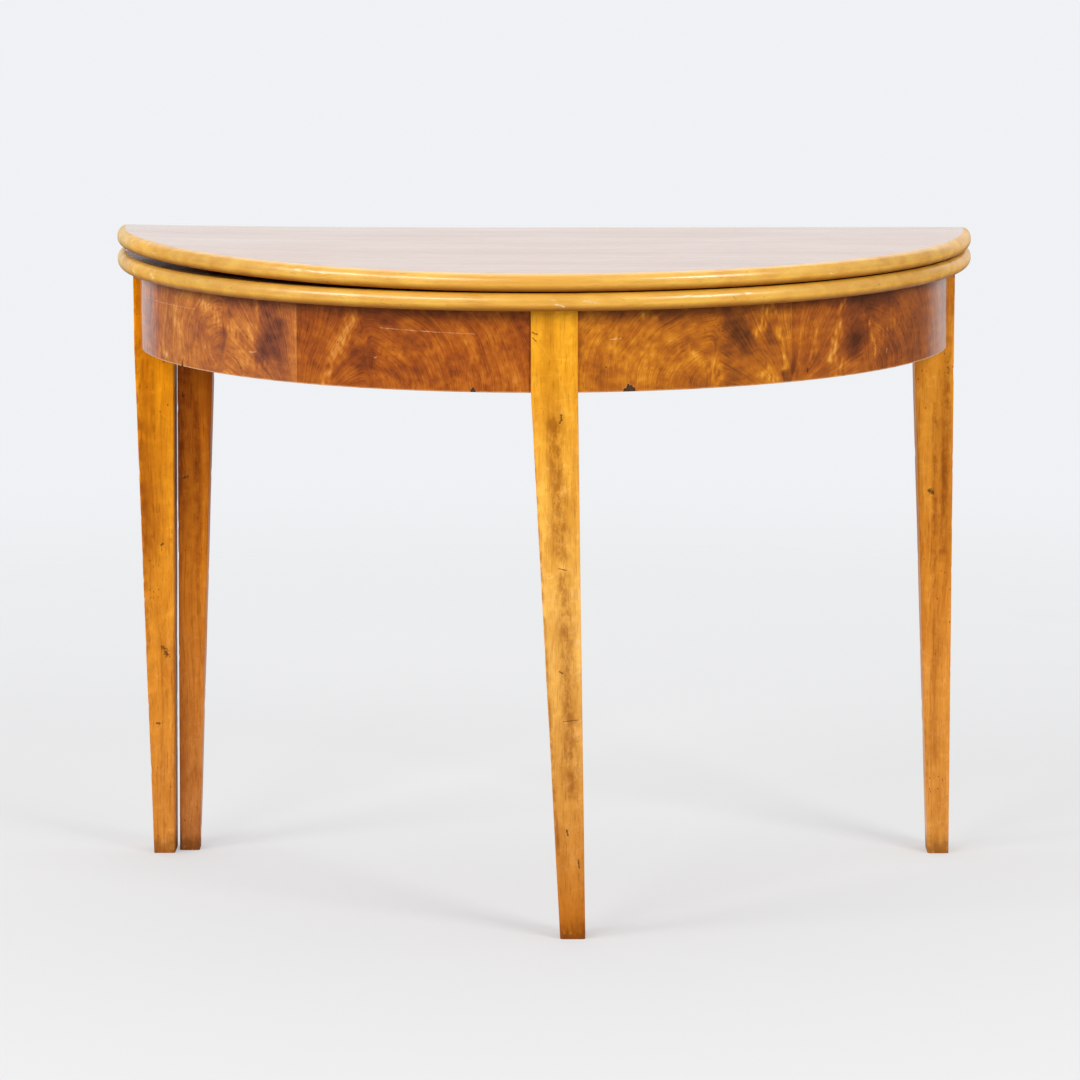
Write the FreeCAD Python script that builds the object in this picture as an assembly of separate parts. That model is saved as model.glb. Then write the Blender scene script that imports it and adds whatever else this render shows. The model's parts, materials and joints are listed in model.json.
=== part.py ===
import FreeCAD, Part
import math
import os

from FreeCAD import Vector

# Demilune fold-over table: two half-round leaves on a veneered half-round frame, with a gate leg behind.
# The pieces are modelled on a bench frame in millimetres: X to the right, Y away from the sitter,
# Z up from the floor. Y is zero at the straight back edge of the closed leaves and X is zero at the
# middle of that edge. Every piece is moved to the part's own frame, centred over its footprint, when
# it is written out.

# Top: two equal leaves, folded one on the other
table_height = 770.0
leaf_radius = 520.0
leaf_thickness = 20.5
leaf_gap = 1.5
leaf_nosing = 9.6
leaf_front_lift = 14.0
leaf_corner_lift = 4.5
leaf_flat_from_x = 100.0

# Frieze: brick-laid core under figured veneer
apron_overhang = 24.5
apron_height = 94.5
apron_thickness = 26.0
apron_courses = 4
bricks_per_half = 3
veneer_thickness = 1.2
glue_line = 0.1
left_seam_angles = (-66.0, -34.3)
right_seam_angles = (35.5,)

# Chips broken from the lower edge of the veneer: angle from the front, then width and height as shares
# of the frieze's height
veneer_chips = ((-58.8, 0.058, 0.058), (-8.8, 0.069, 0.053), (11.8, 0.159, 0.074))

# Legs: plumb outside, tapered inside, from the underside of the frieze to the foot
rear_leg_width = 48.0
rear_leg_depth = 56.0
rear_foot_width = 26.0
rear_foot_depth = 44.0
rear_leg_proud = 7.0
frame_setback = 14.0
left_foot_drift = 3.0
right_foot_drift = 12.0
front_leg_width = 53.0
front_leg_depth = 48.0
front_foot_width = 29.0
front_foot_depth = 32.0
front_leg_proud = 3.0
front_leg_off_centre = 16.5
front_foot_drift = 20.0
leg_arris = 1.6

# Joints of the frame
tenon_thickness = 12.0
tenon_length = 18.0
tenon_fit = 0.1
mortise_spare = 0.5

# Back rails and the gate
back_rail_thickness = 22.0
back_rail_height = 90.0
gate_rail_thickness = 24.0
gate_rail_height = 84.0
gate_side_clearance = 1.0
gate_top_clearance = 0.6
gate_pin_x = -20.0
gate_pin_radius = 4.0
gate_pin_stub = 3.0
pin_running_fit = 0.06
pin_tight_fit = 0.02
gate_knuckles = 5
knuckle_gap = 0.5
gate_leg_gap = 3.2
gate_leg_width = 43.5
gate_leg_depth = 40.0
gate_foot_width = 24.5
gate_foot_depth = 28.0
gate_foot_drift = -16.0
gate_notch_spare = 2.0
gate_tenon_shoulder = 12.0
peg_radius = 3.5
peg_fit = 0.05

# Inside the frame
bearer_width = 50.0
bearer_thickness = 22.0
bearer_tail_length = 14.0
bearer_tail_flare = 6.0
bearer_tenon_width = 30.0
bearer_tenon_length = 14.0
glue_block_length = 60.0
glue_block_depth = 22.0
glue_block_height = 24.0
glue_block_angles = (20.0, 45.0, 67.0)

# Leaf hinges: butt hinges let into the back edges of the leaves
hinge_inset = 140.0
hinge_length = 60.0
hinge_plate_height = 15.0
hinge_plate_thickness = 2.0
hinge_barrel_radius = 3.6
hinge_pin_radius = 1.8
hinge_knuckles = 5
hinge_clearance = 0.3
hinge_edge_gap = 0.3
hinge_recess_fit = 0.1
hinge_screws_per_plate = 3

# Slotted countersunk wood screws; the cover is the wood left beyond a frame screw's point
hinge_screw_radius = 1.4
hinge_screw_head = 2.9
hinge_screw_length = 14.0
frame_screw_radius = 2.4
frame_screw_head = 4.8
frame_screw_cover = 8.0
screw_slot_width = 0.9
screw_slot_depth = 0.8
screw_fit = 0.05
bearer_screw_count = 3
rail_screw_count = 3
screw_end_margin = 55.0

# Levels and faces worked out from the sizes above
frame_top = table_height - 2 * leaf_thickness - leaf_gap
apron_radius = leaf_radius - apron_overhang
apron_bottom = frame_top - apron_height
course_height = apron_height / apron_courses
core_outer = apron_radius - veneer_thickness - glue_line
core_inner = apron_radius - apron_thickness
core_middle = (core_outer + core_inner) / 2

rear_leg_back = -frame_setback
rear_leg_front = rear_leg_back - rear_leg_depth
apron_end_x = math.sqrt(apron_radius**2 - rear_leg_front**2)
rear_leg_outer = apron_end_x + rear_leg_proud
rear_leg_inner = rear_leg_outer - rear_leg_width
front_leg_face = -(apron_radius + front_leg_proud)
front_leg_back = front_leg_face + front_leg_depth
front_leg_left = front_leg_off_centre - front_leg_width / 2
front_leg_right = front_leg_off_centre + front_leg_width / 2

gate_back = rear_leg_back
gate_front = gate_back - gate_rail_thickness
gate_pin_y = (gate_front + gate_back) / 2
back_rail_back = gate_front - gate_side_clearance
back_rail_front = back_rail_back - back_rail_thickness
gate_top = frame_top - gate_top_clearance
gate_rail_bottom = gate_top - gate_rail_height
gate_leg_left = -rear_leg_inner + gate_leg_gap
gate_leg_right = gate_leg_left + gate_leg_width

hinge_spacing = leaf_radius - hinge_inset
hinge_places = {"left": -hinge_spacing, "middle": 0.0, "right": hinge_spacing}
hinge_axis_y = hinge_edge_gap
hinge_axis_z = frame_top + leaf_thickness + leaf_gap / 2
footprint_middle = (hinge_axis_y + hinge_barrel_radius - leaf_radius) / 2


# Shapes that many pieces share

def box(x0, x1, y0, y1, z0, z1):
    """A block between two corners."""
    return Part.makeBox(x1 - x0, y1 - y0, z1 - z0, Vector(x0, y0, z0))


def rod(start, direction, radius, length):
    """A round rod from a point along a direction."""
    return Part.makeCylinder(radius, length, Vector(*start), Vector(*direction))


def on_arc(radius, angle):
    """A point in plan on a circle about the back edge's middle; the angle runs from the front to the right."""
    turn = math.radians(angle)
    return radius * math.sin(turn), -radius * math.cos(turn)


def sector(inner, outer, z0, z1, start, end):
    """A block of a ring about the back edge's middle, between two angles from the front."""
    corners = [Vector(0, -r, z) for r, z in ((inner, z0), (outer, z0), (outer, z1), (inner, z1))]
    profile = Part.Face(Part.makePolygon(corners + corners[:1]))
    profile.rotate(Vector(0, 0, 0), Vector(0, 0, 1), start)
    return profile.revolve(Vector(0, 0, 0), Vector(0, 0, 1), end - start)


def rounded_rectangle(x0, x1, y0, y1, z, radius):
    """A closed outline at one height with its four corners rounded."""
    reach = radius * (1 - math.sqrt(0.5))
    corners = (
        ((x1 - radius, y0), (x1 - reach, y0 + reach), (x1, y0 + radius)),
        ((x1, y1 - radius), (x1 - reach, y1 - reach), (x1 - radius, y1)),
        ((x0 + radius, y1), (x0 + reach, y1 - reach), (x0, y1 - radius)),
        ((x0, y0 + radius), (x0 + reach, y0 + reach), (x0 + radius, y0)),
    )
    edges = []
    for i, corner in enumerate(corners):
        points = [Vector(x, y, z) for x, y in corner]
        edges.append(Part.Arc(*points).toShape())
        following = Vector(*corners[(i + 1) % len(corners)][0], z)
        edges.append(Part.LineSegment(points[-1], following).toShape())
    return Part.Wire(edges)


def tapered_leg(top_x, foot_x, top_y, foot_y, knee, top):
    """A leg that is straight from its top to the knee and tapers from there to the foot."""
    sections = (
        rounded_rectangle(*foot_x, *foot_y, 0, leg_arris),
        rounded_rectangle(*top_x, *top_y, knee, leg_arris),
        rounded_rectangle(*top_x, *top_y, top, leg_arris),
    )
    return Part.makeLoft(list(sections), True, True)


def span(middle, width):
    """The two ends of a width about its middle."""
    return middle - width / 2, middle + width / 2


def screw_blank(shank, head, length, place, direction):
    """A countersunk head and shank from a place along a direction, as a screw fills its hole."""
    along = Vector(*direction)
    start = Vector(*place)
    cone_depth = head - shank
    blank = Part.makeCone(head, shank, cone_depth, start, along)
    return blank.fuse(Part.makeCylinder(shank, length - cone_depth, start + along * cone_depth, along))


def screws(shank, head, length, places, direction, fit):
    """Slotted screws with their heads flush at the places; a fit above zero gives their holes instead."""
    made = []
    for place in places:
        screw = screw_blank(shank + fit, head + fit, length + fit, place, direction)
        if fit == 0.0:
            slot = Part.makeBox(2 * head, screw_slot_width, screw_slot_depth)
            slot.translate(Vector(-head, -screw_slot_width / 2, 0))
            along = Vector(*direction)
            turn = FreeCAD.Rotation(Vector(1, 0, 0), along.cross(Vector(1, 0, 0)), along, "XZY")
            slot.Placement = FreeCAD.Placement(Vector(*place), turn).multiply(slot.Placement)
            screw = screw.cut(slot)
        made.append(screw.removeSplitter())
    return made


def evenly(start, end, count):
    """Places spread evenly between two ends, both included."""
    return [start + (end - start) * i / (count - 1) for i in range(count)]


# Screws and pegs

def hinge_screw_places(x_middle, side):
    """Where the screws of one hinge plate enter the back edge; side is +1 for the upper leaf."""
    margin = hinge_length / (2 * hinge_screws_per_plate)
    first, last = span(x_middle, hinge_length - 2 * margin)
    z = hinge_axis_z + side * (hinge_barrel_radius + hinge_plate_height) / 2
    return [(x, 0.0, z) for x in evenly(first, last, hinge_screws_per_plate)]


def hinge_screws(x_middles, side, fit=0.0):
    """The screws that hold the plates of the hinges at some places to one leaf."""
    places = [place for x in x_middles for place in hinge_screw_places(x, side)]
    return screws(hinge_screw_radius, hinge_screw_head, hinge_screw_length, places, (0, -1, 0), fit)


def bearer_screws(fit=0.0):
    """Screws driven up through the bearer into the lower leaf."""
    first = front_leg_back + screw_end_margin
    last = back_rail_front - screw_end_margin
    level = frame_top - bearer_thickness
    places = [(front_leg_off_centre, y, level) for y in evenly(first, last, bearer_screw_count)]
    length = bearer_thickness + leaf_thickness - frame_screw_cover
    return screws(frame_screw_radius, frame_screw_head, length, places, (0, 0, 1), fit)


def rail_screws(fit=0.0):
    """Screws driven through the fixed hinge rail into the back rail."""
    level = gate_top - gate_rail_height / 2
    first = gate_pin_x + gate_rail_thickness + screw_end_margin
    last = rear_leg_inner - screw_end_margin
    places = [(x, gate_back, level) for x in evenly(first, last, rail_screw_count)]
    length = gate_back - back_rail_front - frame_screw_cover
    return screws(frame_screw_radius, frame_screw_head, length, places, (0, -1, 0), fit)


def gate_pegs(fit=0.0):
    """Two pegs through the gate leg and the tenon of its rail."""
    middle = gate_leg_right - tenon_length / 2
    levels = span(gate_top - gate_rail_height / 2, gate_rail_height / 3)
    length = gate_back - gate_front
    return [rod((middle, gate_front, z), (0, 1, 0), peg_radius + fit, length) for z in levels]


# The two leaves

def half_disc(z0, z1):
    """The half-round plan of a leaf as a block between two heights."""
    disc = Part.makeCylinder(leaf_radius, z1 - z0, Vector(0, 0, z0))
    return disc.common(box(-leaf_radius, leaf_radius, -leaf_radius, 0, z0, z1))


def nosed(leaf):
    """The leaf with its round edge worked to a bull nose, above and below."""
    radius = min(leaf_nosing, 0.48 * leaf_thickness)
    rim = []
    for edge in leaf.Edges:
        points = edge.discretize(9)
        reach = [math.hypot(p.x, p.y) for p in points]
        level = max(p.z for p in points) - min(p.z for p in points)
        if min(reach) > leaf_radius - 0.01 and level < leaf_thickness / 2:
            rim.append(edge)
    return leaf.makeFillet(radius, rim)


def hinge_recesses(leaf, side):
    """The leaf with the recesses of its hinge plates, the hollows for the barrels and the screw holes."""
    fit = hinge_recess_fit
    for x in hinge_places.values():
        x0, x1 = span(x, hinge_length + 2 * fit)
        z0, z1 = sorted((hinge_axis_z, hinge_axis_z + side * (hinge_plate_height + fit)))
        leaf = leaf.cut(box(x0, x1, -hinge_plate_thickness, fit, z0, z1))
        hollow = hinge_barrel_radius + hinge_clearance
        leaf = leaf.cut(rod((x0, hinge_axis_y, hinge_axis_z), (1, 0, 0), hollow, x1 - x0))
    return leaf.cut(hinge_screws(hinge_places.values(), side, screw_fit))


def lower_leaf():
    """The fixed leaf, screwed to the frame."""
    leaf = nosed(half_disc(frame_top, frame_top + leaf_thickness))
    return hinge_recesses(leaf, -1).cut(bearer_screws(screw_fit))


def upper_leaf():
    """The folding leaf. It has warped: its left side lifts off the leaf below, most of all at the front.

    The lifting part is a cubic by linear Bezier patch with its two left corner poles raised, so it runs
    smoothly into the flat part.
    """
    below = frame_top + leaf_thickness + leaf_gap
    above = below + leaf_thickness
    patch = Part.BezierSurface()
    patch.increase(3, 1)
    for column in range(4):
        for row, corner_lift in enumerate((leaf_corner_lift, leaf_front_lift)):
            x = leaf_flat_from_x - (leaf_flat_from_x + leaf_radius) * column / 3
            lift = corner_lift if column == 3 else 0.0
            patch.setPole(column + 1, row + 1, Vector(x, -leaf_radius * row, below + lift))
    warped = patch.toShape().extrude(Vector(0, 0, leaf_thickness))
    flat = box(leaf_flat_from_x, leaf_radius, -leaf_radius, 0, below, above)
    outline = half_disc(below - leaf_thickness, above + leaf_thickness + leaf_front_lift)
    leaf = nosed(warped.fuse(flat).common(outline))
    return hinge_recesses(leaf, 1)


# Frieze

def half_of_frame(side):
    """Room for one half of the frieze, between the front leg and the rear leg; side is -1 for the left."""
    if side < 0:
        return box(-leaf_radius, front_leg_left, -leaf_radius, rear_leg_front, 0, table_height)
    return box(front_leg_right, leaf_radius, -leaf_radius, rear_leg_front, 0, table_height)


def half_angles(side):
    """The angles from the front at which one half of the frieze starts and ends, a little past its legs."""
    past = 3.0
    end = math.degrees(math.acos(-rear_leg_front / apron_radius)) + past
    meeting = front_leg_left if side < 0 else front_leg_right
    start = math.degrees(math.asin(meeting / apron_radius))
    return (-end, start + past) if side < 0 else (start - past, end)


def front_tenon(side, z0, z1, fit=0.0, spare=0.0):
    """The stub tenon that one half of the frieze puts into the side of the front leg."""
    y0, y1 = span(-core_middle, tenon_thickness + 2 * fit)
    root = tenon_thickness / 2
    if side < 0:
        return box(front_leg_left - root, front_leg_left + tenon_length + spare, y0, y1, z0 - fit, z1 + fit)
    return box(front_leg_right - tenon_length - spare, front_leg_right + root, y0, y1, z0 - fit, z1 + fit)


def rear_tenon(side, z0, z1, fit=0.0, spare=0.0):
    """The stub tenon that one half of the frieze puts into the front of its rear leg."""
    middle = side * math.sqrt(core_middle**2 - rear_leg_front**2)
    x0, x1 = span(middle, tenon_thickness + 2 * fit)
    root = tenon_thickness / 2
    return box(x0, x1, rear_leg_front - root, rear_leg_front + tenon_length + spare, z0 - fit, z1 + fit)


def tenoned_courses():
    """The height range of the courses that carry tenons: all but the top and bottom ones."""
    return apron_bottom + course_height, frame_top - course_height


def apron_course(side, course):
    """One course of bricks in one half of the frieze; the joints of neighbouring courses are staggered."""
    z0 = apron_bottom + course * course_height
    z1 = z0 + course_height
    start, end = half_angles(side)
    step = (end - start) / bricks_per_half
    offsets = [i + 0.5 for i in range(bricks_per_half)] if course % 2 else range(1, bricks_per_half)
    joints = [start, *(start + step * offset for offset in offsets), end]
    room = half_of_frame(side)
    tenoned = 0 < course < apron_courses - 1
    bricks = []
    for first, last in zip(joints, joints[1:]):
        brick = sector(core_inner, core_outer, z0, z1, first, last).common(room)
        if tenoned and (first == start or last == end):
            at_front = (last == end) if side < 0 else (first == start)
            tenon = front_tenon(side, z0, z1) if at_front else rear_tenon(side, z0, z1)
            brick = brick.fuse(tenon).removeSplitter()
        bricks.append(brick)
    return Part.makeCompound([s for b in bricks for s in b.Solids])


def veneers(side, seams):
    """The veneer of one half of the frieze as its separate leaves, from left to right, chips cut out."""
    start, end = half_angles(side)
    room = half_of_frame(side)
    inner = apron_radius - veneer_thickness
    edges = [start, *seams, end]
    leaves = [
        sector(inner, apron_radius, apron_bottom, frame_top, first, last).common(room)
        for first, last in zip(edges, edges[1:])
    ]
    for angle, width_share, height_share in veneer_chips:
        width = width_share * apron_height
        height = height_share * apron_height
        x, y = on_arc(1.0, angle)
        chip = Part.Ellipse(Vector(0, 0, 0), max(width / 2, height), min(width / 2, height))
        blank = Part.Face(Part.Wire(chip.toShape())).extrude(Vector(0, 0, apron_overhang))
        across = Vector(-y, x, 0) if width / 2 >= height else Vector(0, 0, 1)
        outward = Vector(x, y, 0)
        turn = FreeCAD.Rotation(across, outward.cross(across), outward, "XZY")
        start_point = outward * (apron_radius - apron_overhang / 2) + Vector(0, 0, apron_bottom)
        blank.Placement = FreeCAD.Placement(start_point, turn)
        leaves = [leaf.cut(blank) for leaf in leaves]
    return leaves


# Legs and rails of the frame

def bearer_tenon(fit=0.0):
    """The front end of the bearer, let into the back of the front leg from above."""
    x0, x1 = span(front_leg_off_centre, bearer_tenon_width + 2 * fit)
    y0 = front_leg_back - bearer_tenon_length - fit
    return box(x0, x1, y0, front_leg_back, frame_top - bearer_thickness - fit, frame_top)


def bearer_tail(fit=0.0):
    """The rear end of the bearer, a dovetail let into the top of the back rail."""
    neck = bearer_tenon_width / 2 + fit
    tail = neck + bearer_tail_flare
    y1 = back_rail_front + bearer_tail_length + fit
    z0 = frame_top - bearer_thickness - fit
    plan = [(-neck, back_rail_front), (neck, back_rail_front), (tail, y1), (-tail, y1)]
    corners = [Vector(front_leg_off_centre + x, y, z0) for x, y in plan]
    return Part.Face(Part.makePolygon(corners + corners[:1])).extrude(Vector(0, 0, frame_top - z0))


def back_rail_tenon(side, fit=0.0, spare=0.0):
    """The tenon of the back rail in the inner face of a rear leg."""
    y0, y1 = span((back_rail_front + back_rail_back) / 2, tenon_thickness + 2 * fit)
    z0 = frame_top - back_rail_height + tenon_thickness - fit
    z1 = frame_top - tenon_thickness + fit
    root = tenon_thickness
    if side < 0:
        return box(-rear_leg_inner - tenon_length - spare, -rear_leg_inner + root, y0, y1, z0, z1)
    return box(rear_leg_inner - root, rear_leg_inner + tenon_length + spare, y0, y1, z0, z1)


def rear_leg(side, drift):
    """A rear leg: plumb at the back, tapered at the front and sides, mortised for the frieze and back rail."""
    middle = side * (rear_leg_outer - rear_leg_width / 2)
    leg = tapered_leg(
        span(middle, rear_leg_width),
        span(middle + drift, rear_foot_width),
        (rear_leg_front, rear_leg_back),
        (rear_leg_back - rear_foot_depth, rear_leg_back),
        apron_bottom,
        frame_top,
    )
    leg = leg.cut(rear_tenon(side, *tenoned_courses(), tenon_fit, mortise_spare))
    return leg.cut(back_rail_tenon(side, tenon_fit, mortise_spare))


def front_leg():
    """The front leg: it runs up through the frieze, a little proud of the veneer, and tapers behind."""
    leg = tapered_leg(
        span(front_leg_off_centre, front_leg_width),
        span(front_leg_off_centre + front_foot_drift, front_foot_width),
        (front_leg_face, front_leg_back),
        (front_leg_face, front_leg_face + front_foot_depth),
        apron_bottom,
        frame_top,
    )
    for side in (-1, 1):
        leg = leg.cut(front_tenon(side, *tenoned_courses(), tenon_fit, mortise_spare))
    return leg.cut(bearer_tenon(tenon_fit))


def back_rail():
    """The fixed rail that ties the rear legs, with the bearer's dovetail socket in its top edge."""
    z0 = frame_top - back_rail_height
    rail = box(-rear_leg_inner, rear_leg_inner, back_rail_front, back_rail_back, z0, frame_top)
    for side in (-1, 1):
        rail = rail.fuse(back_rail_tenon(side))
    return rail.cut([bearer_tail(tenon_fit), *rail_screws(screw_fit)]).removeSplitter()


def bearer():
    """The bearer under the top, from the front leg to the back rail."""
    x0, x1 = span(front_leg_off_centre, bearer_width)
    body = box(x0, x1, front_leg_back, back_rail_front, frame_top - bearer_thickness, frame_top)
    body = body.fuse([bearer_tenon(), bearer_tail()]).removeSplitter()
    return body.cut(bearer_screws(screw_fit))


def glue_blocks():
    """Blocks rubbed into the corner of the frieze and the lower leaf, planed to the curve behind."""
    hollow = Part.makeCylinder(core_inner, glue_block_height, Vector(0, 0, frame_top - glue_block_height))
    blocks = []
    for angle in [side * a for side in (-1, 1) for a in glue_block_angles]:
        half = glue_block_length / 2
        blank = box(-half, half, -core_inner, -core_inner + glue_block_depth, frame_top - glue_block_height, frame_top)
        blank.rotate(Vector(0, 0, 0), Vector(0, 0, 1), angle)
        blocks.append(blank.common(hollow))
    return Part.makeCompound([s for b in blocks for s in b.Solids])


# The gate and its wooden knuckle joint

def knuckle_heights(which):
    """The heights of the fingers of one half of the knuckle: 0 for the fixed rail, 1 for the gate."""
    step = gate_rail_height / gate_knuckles
    levels = [gate_rail_bottom + step * i for i in range(gate_knuckles)]
    return [(z, z + step) for i, z in enumerate(levels) if i % 2 == which]


def knuckle_rail(far_x, which):
    """A rail that ends in knuckle fingers round the gate pin.

    Each finger has a round end. The slots between them are hollowed round the pin in front and
    squared behind, which lets the gate turn a quarter turn and then stops it on its shoulders.
    """
    radius = gate_rail_thickness / 2
    x0, x1 = sorted((gate_pin_x, far_x))
    rail = box(x0, x1, gate_front, gate_back, gate_rail_bottom, gate_top)
    rail = rail.fuse(rod((gate_pin_x, gate_pin_y, gate_rail_bottom), (0, 0, 1), radius, gate_rail_height))
    clear = radius + knuckle_gap
    for z0, z1 in knuckle_heights(1 - which):
        low = z0 - (knuckle_gap / 2 if z0 > gate_rail_bottom else 0)
        high = z1 + (knuckle_gap / 2 if z1 < gate_top else 0)
        rail = rail.cut(rod((gate_pin_x, gate_pin_y, low), (0, 0, 1), clear, high - low))
        shoulder = box(gate_pin_x - clear, gate_pin_x + clear, gate_pin_y, gate_back + knuckle_gap, low, high)
        rail = rail.cut(shoulder)
    fit = pin_running_fit if which else pin_tight_fit
    bore = rod((gate_pin_x, gate_pin_y, gate_rail_bottom), (0, 0, 1), gate_pin_radius + fit, gate_rail_height)
    return rail.cut(bore).removeSplitter()


def hinge_rail():
    """The fixed half of the gate's rail, packed out to lie on the back rail and screwed to it."""
    rail = knuckle_rail(rear_leg_inner, 0)
    packing_start = gate_pin_x + gate_rail_thickness
    rail = rail.fuse(box(packing_start, rear_leg_inner, back_rail_back, gate_front, gate_rail_bottom, gate_top))
    return rail.cut(rail_screws(screw_fit)).removeSplitter()


def gate_tenon(fit=0.0, spare=0.0):
    """The tenon of the gate's rail in its leg."""
    y0, y1 = span(gate_pin_y, tenon_thickness + 2 * fit)
    z0 = gate_rail_bottom + gate_tenon_shoulder - fit
    z1 = gate_top - gate_tenon_shoulder + fit
    return box(gate_leg_right - tenon_length - spare, gate_leg_right + tenon_thickness, y0, y1, z0, z1)


def gate_rail():
    """The swinging rail, from the knuckle to its tenon in the gate leg."""
    rail = knuckle_rail(gate_leg_right, 1).fuse(gate_tenon()).removeSplitter()
    return rail.cut(gate_pegs(peg_fit))


def gate_leg():
    """The gate leg: notched in front to close over the back rail, tapered below like the others."""
    middle = (gate_leg_left + gate_leg_right) / 2
    leg_front = gate_back - gate_leg_depth
    leg = tapered_leg(
        (gate_leg_left, gate_leg_right),
        span(middle + gate_foot_drift, gate_foot_width),
        (leg_front, gate_back),
        (gate_back - gate_foot_depth, gate_back),
        apron_bottom,
        gate_top,
    )
    notch_bottom = frame_top - back_rail_height - gate_notch_spare
    leg = leg.cut(box(gate_leg_left, gate_leg_right, leg_front, gate_front, notch_bottom, frame_top))
    return leg.cut([gate_tenon(tenon_fit, mortise_spare), *gate_pegs(peg_fit)])


def gate_pin():
    """The iron pin of the knuckle joint."""
    start = (gate_pin_x, gate_pin_y, gate_rail_bottom - gate_pin_stub)
    return rod(start, (0, 0, 1), gate_pin_radius, gate_rail_height + gate_pin_stub)


# Leaf hinges

def hinge_half(x_middle, side):
    """One plate of a leaf hinge with its knuckles; side is +1 for the plate on the upper leaf."""
    x0, x1 = span(x_middle, hinge_length)
    edges = evenly(x0, x1, hinge_knuckles + 1)
    z0, z1 = sorted((hinge_axis_z, hinge_axis_z + side * hinge_plate_height))
    plate = box(x0, x1, -hinge_plate_thickness, 0, z0, z1)
    clear = hinge_barrel_radius + hinge_clearance
    plate = plate.cut(rod((x0, hinge_axis_y, hinge_axis_z), (1, 0, 0), clear, hinge_length))
    own = 1 if side > 0 else 0
    web0, web1 = sorted((hinge_axis_z, hinge_axis_z + side * (clear + hinge_plate_thickness)))
    for i, (start, end) in enumerate(zip(edges, edges[1:])):
        if i % 2 != own:
            continue
        start += hinge_clearance / 2
        end -= hinge_clearance / 2
        knuckle = rod((start, hinge_axis_y, hinge_axis_z), (1, 0, 0), hinge_barrel_radius, end - start)
        plate = plate.fuse([knuckle, box(start, end, -hinge_plate_thickness, 0, web0, web1)])
    fit = pin_running_fit if side > 0 else pin_tight_fit
    bore = rod((x0, hinge_axis_y, hinge_axis_z), (1, 0, 0), hinge_pin_radius + fit, hinge_length)
    return plate.cut([bore, *hinge_screws([x_middle], side, screw_fit)]).removeSplitter()


def hinge_pin(x_middle):
    """The pin of one leaf hinge."""
    x0, x1 = span(x_middle, hinge_length)
    return rod((x0, hinge_axis_y, hinge_axis_z), (1, 0, 0), hinge_pin_radius, x1 - x0)


# The whole table

def pieces():
    """Every piece by its node name, on the bench frame."""
    made = {
        "lower_leaf": lower_leaf(),
        "upper_leaf": upper_leaf(),
        "front_leg": front_leg(),
        "left_rear_leg": rear_leg(-1, left_foot_drift),
        "right_rear_leg": rear_leg(1, right_foot_drift),
        "back_rail": back_rail(),
        "cross_bearer": bearer(),
        "glue_blocks": glue_blocks(),
        "hinge_rail": hinge_rail(),
        "gate_rail": gate_rail(),
        "gate_leg": gate_leg(),
        "gate_pivot_pin": gate_pin(),
        "gate_tenon_pegs": Part.makeCompound(gate_pegs()),
        "bearer_screws": Part.makeCompound(bearer_screws()),
        "hinge_rail_screws": Part.makeCompound(rail_screws()),
        "lower_hinge_screws": Part.makeCompound(hinge_screws(hinge_places.values(), -1)),
        "upper_hinge_screws": Part.makeCompound(hinge_screws(hinge_places.values(), 1)),
    }
    for label, side, seams in (("left", -1, left_seam_angles), ("right", 1, right_seam_angles)):
        for course in range(apron_courses):
            made[f"{label}_apron_course_{course + 1}"] = apron_course(side, course)
        for i, leaf in enumerate(veneers(side, seams)):
            made[f"{label}_veneer_{i + 1}"] = leaf
    for label, x in hinge_places.items():
        made[f"{label}_hinge_fixed_plate"] = hinge_half(x, -1)
        made[f"{label}_hinge_moving_plate"] = hinge_half(x, 1)
        made[f"{label}_hinge_pin"] = hinge_pin(x)
    return made


def main():
    os.makedirs("parts", exist_ok=True)
    for name, shape in pieces().items():
        shape.translate(Vector(0, -footprint_middle, 0))
        shape.exportStep(f"parts/{name}.step")
        size = shape.optimalBoundingBox(False)
        print(f"{name}: {len(shape.Solids)} solids, {'sound' if shape.isValid() else 'FAULTY'}, "
              f"{size.XLength:.1f} x {size.YLength:.1f} x {size.ZLength:.1f} mm, {shape.Volume / 1000:.1f} cm3")


main()
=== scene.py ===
# %% [markdown]
# # A half-round fold-over table, dressed
#
# The table has two half-round leaves folded on each other, a curved frieze faced with figured veneer,
# and four square tapered legs, one of which is a gate that swings out behind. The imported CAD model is
# the frame: it fixes every size and every joint. This script gives the frame its wood, its polish and
# its hundred and fifty years of wear.

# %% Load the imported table
import json
import math

import bmesh
import bpy
import numpy as np
from mathutils import Matrix, Vector


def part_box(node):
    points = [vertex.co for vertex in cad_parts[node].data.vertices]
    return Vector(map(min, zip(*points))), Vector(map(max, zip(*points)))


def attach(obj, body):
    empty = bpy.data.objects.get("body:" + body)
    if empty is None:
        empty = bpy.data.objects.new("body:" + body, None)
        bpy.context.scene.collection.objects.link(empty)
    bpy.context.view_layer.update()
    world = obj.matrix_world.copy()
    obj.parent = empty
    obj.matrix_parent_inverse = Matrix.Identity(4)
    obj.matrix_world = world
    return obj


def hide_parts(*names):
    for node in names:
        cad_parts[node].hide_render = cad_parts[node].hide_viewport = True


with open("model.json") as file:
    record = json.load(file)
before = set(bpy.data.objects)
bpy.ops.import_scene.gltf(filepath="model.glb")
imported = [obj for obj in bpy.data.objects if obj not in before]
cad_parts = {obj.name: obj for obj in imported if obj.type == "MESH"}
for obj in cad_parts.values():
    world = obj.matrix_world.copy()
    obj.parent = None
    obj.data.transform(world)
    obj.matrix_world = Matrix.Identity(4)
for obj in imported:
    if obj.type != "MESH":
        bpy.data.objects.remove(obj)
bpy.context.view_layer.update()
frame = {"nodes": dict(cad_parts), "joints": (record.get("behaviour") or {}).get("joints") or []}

nodes = frame["nodes"]
scene = bpy.context.scene
scene.view_settings.view_transform = "Standard"


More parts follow.
